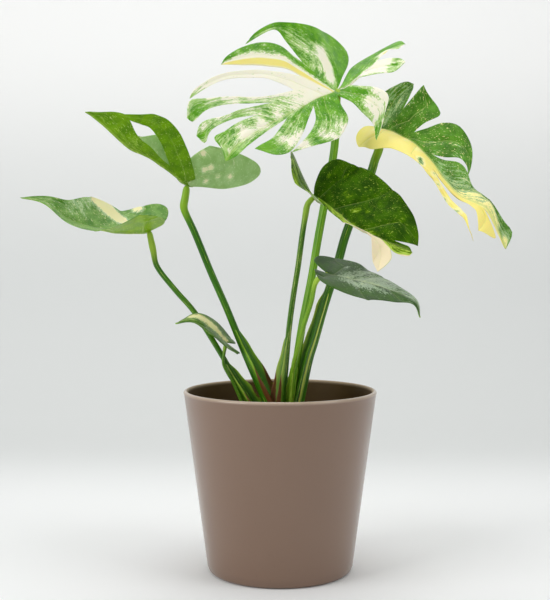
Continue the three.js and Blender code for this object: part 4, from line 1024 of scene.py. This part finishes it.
# Each leaf's tones: dark, light and pale green, cream and rich cream of its upper side, then of its
# underside, and how marbled, how flecked and how glossy it is.
LEAF_TONES = {
  # The top blade's pale green serves both its pale marbling and its painted sheen.
  "top": ([srgb(74, 146, 0), srgb(114, 178, 24), srgb(182, 212, 136), CREAM_AND_SHEEN_WHITE, SOFT_YELLOW],
          [srgb(96, 156, 34), srgb(126, 182, 50), srgb(186, 212, 120), CREAM_AND_SHEEN_WHITE, SOFT_YELLOW],
          0.6, 0.5, 0.32),
  # The right blade's pale green serves both its pale marbling and its painted sheen.
  "right": ([srgb(58, 112, 6), srgb(88, 146, 26), srgb(158, 188, 134), PALE_YELLOW, SOFT_YELLOW],
            [srgb(110, 164, 40), srgb(140, 186, 60), srgb(200, 214, 130), PALE_YELLOW, SOFT_YELLOW],
            0.55, 1.0, 0.2),
  "centre": ([srgb(38, 74, 0), srgb(64, 106, 0), srgb(104, 140, 14), srgb(172, 198, 78), PINK_CREAM],
             [srgb(110, 146, 70), srgb(140, 170, 96), srgb(178, 196, 142), srgb(220, 222, 176), PINK_CREAM],
             0.85, 0.8, 0.03),
  # The low_right blade's pale green and greyish cream serve both a little pale marbling and its painted
  # sheen.
  "low_right": ([srgb(32, 70, 6), srgb(54, 94, 20), srgb(158, 178, 150), srgb(182, 196, 160), CREAM_AND_SHEEN_WHITE],
                [srgb(110, 150, 60), srgb(130, 165, 75), srgb(170, 190, 110), srgb(200, 210, 150), CREAM_AND_SHEEN_WHITE],
                0.3, 0.2, 0.3),
  # Painted sheen: the upper_left blade's upper-side greens are lightened to pale sage.
  "upper_left": ([srgb(154, 190, 118), srgb(174, 206, 140), srgb(192, 214, 158), srgb(244, 240, 204),
                  CREAM_AND_SHEEN_WHITE],
                 [srgb(88, 138, 0), srgb(120, 168, 0), srgb(150, 188, 60), srgb(220, 228, 130), CREAM_AND_SHEEN_WHITE],
                 0.35, 0.95, 0.18),
  "left": ([srgb(74, 130, 22), srgb(124, 166, 74), srgb(166, 192, 144), srgb(242, 234, 180),
            srgb(242, 234, 180)],
           [srgb(114, 160, 18), srgb(144, 182, 36), srgb(176, 204, 74), srgb(225, 225, 150), CREAM_AND_SHEEN_WHITE],
           0.4, 0.95, 0.3),
  "small": ([srgb(58, 100, 20), srgb(88, 130, 38), srgb(140, 170, 84), srgb(242, 236, 176),
             srgb(242, 236, 176)],
            [srgb(90, 146, 26), srgb(120, 170, 44), srgb(165, 200, 84), srgb(225, 225, 150), CREAM_AND_SHEEN_WHITE],
            0.4, 0.4, 0.2),
}
VEIN_STRENGTH = {"top": 0.3, "right": 0.5, "centre": 0.16, "low_right": 0.12, "upper_left": 0.2,
                 "left": 0.15, "small": 0.2}
for name, (upper, under, marbling, flecks, gloss) in LEAF_TONES.items():
    points, triangles, uvs, which = leaf_mesh(name)
    skins = [leaf_material(f"leaf_{name}_upper", *upper, UPPER_VEIN, VEIN_STRENGTH[name],
                           marbling, flecks, gloss),
             leaf_material(f"leaf_{name}_under", *under, UNDER_VEIN, UNDER_VEIN_STRENGTH,
                           marbling, flecks, gloss * UNDER_GLOSS)]
    blade = make_mesh(f"blade_{name}", points, triangles, skins, uvs, which)
    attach(blade, "root")
    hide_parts(f"leaf_{name}")

# ------------------------------------------------------------------ the petioles
# Each leaf's stalk: smooth, waxy and faintly ribbed, streaked with cream down one side, paler and a
# little swollen at its knee under the blade. Its foot is a sheath, two thin wings that close round the
# next stalk and dry brown along their edges.

PETIOLE_STEPS = 150
PETIOLE_SIDES = 28
WING_STEPS = 60
WING_COLUMNS = 9
WING_THICKNESS = 0.6
WING_LEAN = 72  # degrees from the side that the sheath opens to
KNEE_PLACE, KNEE_WIDTH = 0.93, 0.03  # shares of the stalk's length
KNEE_SWELL = 0.35
CHANNEL_DEPTH, CHANNEL_WIDTH = 0.16, 0.45
RIB_COUNT, RIB_DEPTH = 9, 0.012
SMOOTHING = 9  # neighbours that a stalk's line is averaged over

PETIOLES = {
  "top": { "foot": 5, "sheath": 0.2, "shaft": 3.9, "knee": 3.6,
    "path": [[8, 12, 0], [15, 11, 53], [22, 10, 99], [31, 9, 145], [37, 8, 182], [43, 7, 215],
      [53, 6, 271], [55, 5, 312]] },
  "right": { "foot": 5, "sheath": 0.4, "shaft": 4.5, "knee": 4.1,
    "path": [[14, 0, 0], [27, 9, 60], [34, 13, 83], [45, 18, 121], [57, 24, 157], [68, 30, 194],
      [92, 38, 251], [95, 39, 262], [101, 42, 278]] },
  "centre": { "foot": 4, "sheath": 0.3, "shaft": 2.8, "knee": 2.8,
    "path": [[-1, -22, 0], [5, -24, 57], [8, -25, 94], [12, -27, 126], [17, -28, 158],
      [21, -29, 188], [24, -29, 207], [26, -30, 217]] },
  "low_right": { "foot": 3.2, "sheath": 0.4, "shaft": 2.2, "knee": 2.2,
    "path": [[8, -17, 0], [12, -31, 58], [17, -37, 80], [22, -42, 101], [29, -48, 124],
      [32, -52, 140], [36, -54, 147]] },
  "upper_left": { "foot": 5.5, "sheath": 0.45, "shaft": 3.4, "knee": 3.6,
    "path": [[0, -10, 0], [-26, -8, 55], [-39, -6, 84], [-53, -5, 118], [-68, -3, 152],
      [-83, -2, 189], [-94, -1, 213], [-93, -1, 221]] },
  "left": { "foot": 5, "sheath": 0.35, "shaft": 2.7, "knee": 3,
    "path": [[-16, -4, 0], [-42, -3, 43], [-59, -2, 73], [-83, -2, 111], [-102, -1, 133],
      [-120, -1, 156], [-124, 0, 172]] },
  "small": { "foot": 2.2, "sheath": 0.3, "shaft": 1.5, "knee": 1.6,
    "path": [[-27, -11, 0], [-45, -10, 42], [-50, -10, 51], [-55, -9, 61], [-55, -8, 69]] },
}

# The sheath's wings: how far they stand out, in millimetres, the side that they open to, the share of
# that width that they keep almost to their tip, how far they curl in, in degrees, and how far up the
# stalk they run, as a share of its sheath.
WINGS = {
  "top": (5.5, (-0.6, -1, 0), 0, 38, 0.92), "right": (7, (-0.8, -0.6, 0), 0.6, 30, 1.12),
  "centre": (10, (-1, -0.35, 0), 0.3, 34, 1.35),
  "low_right": (4, (-0.8, -0.6, 0), 0, 38, 0.92), "upper_left": (9, (1, -0.5, 0), 0, 38, 0.92),
  "left": (8, (1, -0.6, 0), 0, 38, 0.92),
  "small": (2.5, (0.8, -0.5, 0), 0, 38, 0.92),
}


def wing(line, radius, towards, sign, width, kept, curl):
    """One wing of a sheath: a strip that leaves the stalk at WING_LEAN from towards and curls to it.

    The row at share t stands out width sin(pi (0.16 + 0.84 t)^0.75)^0.8, so the strip is widest low
    down and runs out to a point, or width times kept where that is more.
    """
    facing, beside = frames_along(line, towards)
    share = np.linspace(0, 1, len(line))[:, None]
    out = np.linspace(0, 1, WING_COLUMNS)[None, :]
    reach = width * np.maximum(np.sin(math.pi * np.clip(0.16 + 0.84 * share, 0, 1) ** 0.75), 0) ** 0.8
    reach = np.maximum(reach, width * kept * smoothstep(1 - share, 0, 0.14))
    angle = np.radians(WING_LEAN) - np.radians(curl) * out ** 1.3 * (1 - 0.5 * share)
    away = radius[:, None] * 0.86 + reach * out
    away = away + 0.35 * out * np.sin(share * 23 + sign)
    row = (facing[:, None] * (np.cos(angle) * away)[..., None]
           + beside[:, None] * (sign * np.sin(angle) * away)[..., None])
    sheet = (line[:, None] + row).reshape(-1, 3)
    faces = triangles_of(grid_faces(len(line), WING_COLUMNS))
    shares = np.stack(np.broadcast_arrays(out, share), axis=-1).reshape(-1, 2)
    normal = vertex_normals(sheet, faces)
    half = WING_THICKNESS / 2 * (1 - 0.6 * shares[:, :1])
    rim = open_edges(faces)
    n = len(sheet)
    walls = rim_walls(rim, n)
    triangles = np.concatenate([faces, faces[:, ::-1] + n, walls])
    return (np.concatenate([sheet + normal * half, sheet - normal * half]), triangles,
            np.concatenate([shares, shares])[triangles])


def soften(line, window):
    """The line with each point averaged over a window of neighbours; mirrored ends keep its ends."""
    pad = window // 2
    held = np.vstack([2 * line[0] - line[pad:0:-1], line, 2 * line[-1] - line[-2:-pad - 2:-1]])
    kernel = np.hanning(window + 2)[1:-1]
    return np.column_stack([np.convolve(column, kernel / kernel.sum(), "valid") for column in held.T])


def petiole_mesh(name):
    """Points, triangles, UV maps, material numbers and length of one stalk with its sheath."""
    data = PETIOLES[name]
    width, towards, kept, curl, extent = WINGS[name]
    leaf = LEAVES[name]
    line = soften(smooth_line([*data["path"], leaf["spine"][leaf["joint"]]], PETIOLE_STEPS),
                  SMOOTHING)
    share = np.linspace(0, 1, PETIOLE_STEPS + 1)
    wrap = 1 - smoothstep(share, 0, data["sheath"])
    top = smoothstep(share, 0.85, 0.95)
    radius = (data["shaft"] + (data["knee"] - data["shaft"]) * top) * (1 - wrap) + data["foot"] * wrap
    radius = radius + KNEE_SWELL * np.exp(-((share - KNEE_PLACE) / KNEE_WIDTH) ** 2)
    radius[-3:] *= np.array([0.96, 0.85, 0.6])
    angle = np.arange(PETIOLE_SIDES) * 2 * math.pi / PETIOLE_SIDES
    channel = CHANNEL_DEPTH * np.exp(-((np.minimum(angle, 2 * math.pi - angle)) / CHANNEL_WIDTH) ** 2)
    ribs = RIB_DEPTH * np.sin(RIB_COUNT * angle)
    section = radius[:, None] * (1 - channel - ribs)
    points = tube(line, section, towards, PETIOLE_SIDES)
    triangles, shares = tube_triangles(PETIOLE_STEPS + 1, PETIOLE_SIDES)
    length = np.linalg.norm(np.diff(line, axis=0), axis=1).sum()
    rows = int(PETIOLE_STEPS * data["sheath"] * extent)
    steps = np.linspace(0, rows, WING_STEPS)
    wing_line = interpolate(steps, np.arange(len(line)), line)
    wing_radius = np.interp(steps, np.arange(len(line)), radius)
    parts = [(points, triangles, shares, 0)]
    for sign in (1, -1):
        parts.append((*wing(wing_line, wing_radius, towards, sign, width, kept, curl), 1))
    offsets = np.cumsum([0, *[len(part[0]) for part in parts[:-1]]])
    every = np.concatenate([part[0] for part in parts])
    faces = np.concatenate([part[1] + offset for part, offset in zip(parts, offsets)])
    uv = np.concatenate([part[2] for part in parts])
    which = np.concatenate([np.full(len(part[1]), part[3]) for part in parts])
    return every * MM + [0, 0, PLANT_BASE], faces, {"skin": uv}, which, length


def stalk_material(name, dark, light, stripe, stripes, knee, length):
    """A waxy stalk: green between two tones along its fibres, cream streaks, and a paler knee."""
    material, tree, output = new_material(name)
    uv = node(tree, "SeparateXYZ", {0: node(tree, "UVMap", uv_map="skin").outputs[0]}).outputs
    turn = calc(tree, "MULTIPLY", uv["X"], 2 * math.pi)
    fibre_place = node(tree, "CombineXYZ", {
        0: calc(tree, "MULTIPLY", calc(tree, "COSINE", turn), 2.4),
        1: calc(tree, "MULTIPLY", calc(tree, "SINE", turn), 2.4),
        2: calc(tree, "MULTIPLY", uv["Y"], length / 60)}).outputs[0]
    fibre = node(tree, "TexNoise", {"Vector": fibre_place, "Scale": 1.4, "Detail": 6,
                                    "Roughness": 0.65}).outputs["Fac"]
    fine = node(tree, "TexNoise", {"Vector": fibre_place, "Scale": 9, "Detail": 3,
                                   "Roughness": 0.6}).outputs["Fac"]
    green = blend_colour(tree, ramp(tree, fibre, 0.38, 0.62), dark, light)
    streaked = calc(tree, "MULTIPLY_ADD", fine, 0.35, fibre)
    striped = blend_colour(tree, ramp(tree, streaked, 0.83 - stripes, 0.89 - stripes), green, stripe)
    at_knee = ramp(tree, uv["Y"], 0.84, 0.93, 0.0, 0.85)
    colour = blend_colour(tree, at_knee, striped, knee)
    bump = node(tree, "Bump", {"Height": fine, "Strength": 0.2, "Distance": 0.0003})
    shader = node(tree, "BsdfPrincipled", {
        "Base Color": colour, "Roughness": 0.36, "Normal": bump.outputs[0],
        "Subsurface Weight": 0.2, "Subsurface Scale": 0.002, "Subsurface Radius": (0.6, 1.0, 0.3),
        "Specular IOR Level": 0.3})
    tree.links.new(shader.outputs[0], output.inputs["Surface"])
    return material


def wing_material(name, green, pale, dry, dryness):
    """A sheath's wing: green at its root, paling outwards, with an edge that dries brown low down."""
    material, tree, output = new_material(name)
    uv = node(tree, "SeparateXYZ", {0: node(tree, "UVMap", uv_map="skin").outputs[0]}).outputs
    place = node(tree, "CombineXYZ", {0: calc(tree, "MULTIPLY", uv["X"], 7.0),
                                      1: calc(tree, "MULTIPLY", uv["Y"], 5.0)}).outputs[0]
    rough = node(tree, "TexNoise", {"Vector": place, "Scale": 1.5, "Detail": 5,
                                    "Roughness": 0.6}).outputs["Fac"]
    outwards = calc(tree, "ADD", uv["X"], calc(tree, "MULTIPLY_ADD", rough, 0.8, -0.4))
    body = blend_colour(tree, ramp(tree, outwards, 0.35, 1.0), green, pale)
    edge = calc(tree, "ADD", uv["X"], calc(tree, "MULTIPLY_ADD", rough, 0.7, -0.35))
    low = ramp(tree, calc(tree, "MULTIPLY_ADD", rough, 0.3, uv["Y"]), 0.5, 0.85, dryness, 0.0)
    colour = blend_colour(tree, ramp(tree, calc(tree, "ADD", edge, low), 1.0, 1.12), body, dry)
    bump = node(tree, "Bump", {"Height": rough, "Strength": 0.3, "Distance": 0.0004})
    shader = node(tree, "BsdfPrincipled", {
        "Base Color": colour, "Roughness": 0.5, "Normal": bump.outputs[0],
        "Subsurface Weight": 0.2, "Subsurface Scale": 0.0015, "Subsurface Radius": (0.6, 1.0, 0.3)})
    tree.links.new(shader.outputs[0], output.inputs["Surface"])
    return material


# Each stalk's dark and light green, its streaks' colour and how many there are, and its knee's colour.
STALK_TONES = {
  "top": (srgb(78, 138, 14), srgb(128, 178, 36), srgb(206, 216, 110), 0.0, srgb(170, 204, 76)),
  "right": (srgb(38, 88, 4), srgb(72, 126, 18), srgb(206, 214, 110), 0.03, srgb(128, 168, 34)),
  "centre": (srgb(48, 98, 8), srgb(84, 134, 22), srgb(210, 216, 130), 0.08, srgb(146, 182, 54)),
  "low_right": (srgb(94, 146, 20), srgb(138, 180, 44), srgb(200, 214, 110), 0.0, srgb(168, 200, 64)),
  "upper_left": (srgb(34, 92, 0), srgb(70, 130, 10), srgb(186, 208, 90), 0.02, srgb(146, 188, 44)),
  "left": (srgb(40, 94, 4), srgb(78, 134, 16), srgb(190, 210, 96), 0.04, srgb(166, 198, 64)),
  "small": (srgb(66, 118, 14), srgb(106, 154, 34), srgb(200, 212, 110), 0.03, srgb(158, 192, 66)),
}
DRY_BROWN = srgb(112, 62, 24)
DRYNESS = {"top": 0.1, "right": 0.05, "centre": 0.5, "low_right": 0.1, "upper_left": 0.6, "left": 0.25,
           "small": 0.1}
WING_TIPS = {"right": srgb(196, 208, 90), "centre": srgb(176, 200, 90)}  # where not the knee's colour
for name, (dark, light, stripe, stripes, knee) in STALK_TONES.items():
    points, triangles, uvs, which, length = petiole_mesh(name)
    skins = [stalk_material(f"stalk_{name}", dark, light, stripe, stripes, knee, length),
             wing_material(f"sheath_{name}", light, WING_TIPS.get(name, knee), DRY_BROWN, DRYNESS[name])]
    stalk = make_mesh(f"stalk_{name}", points, triangles, skins, uvs, which)
    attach(stalk, "root")
    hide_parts(f"petiole_{name}")
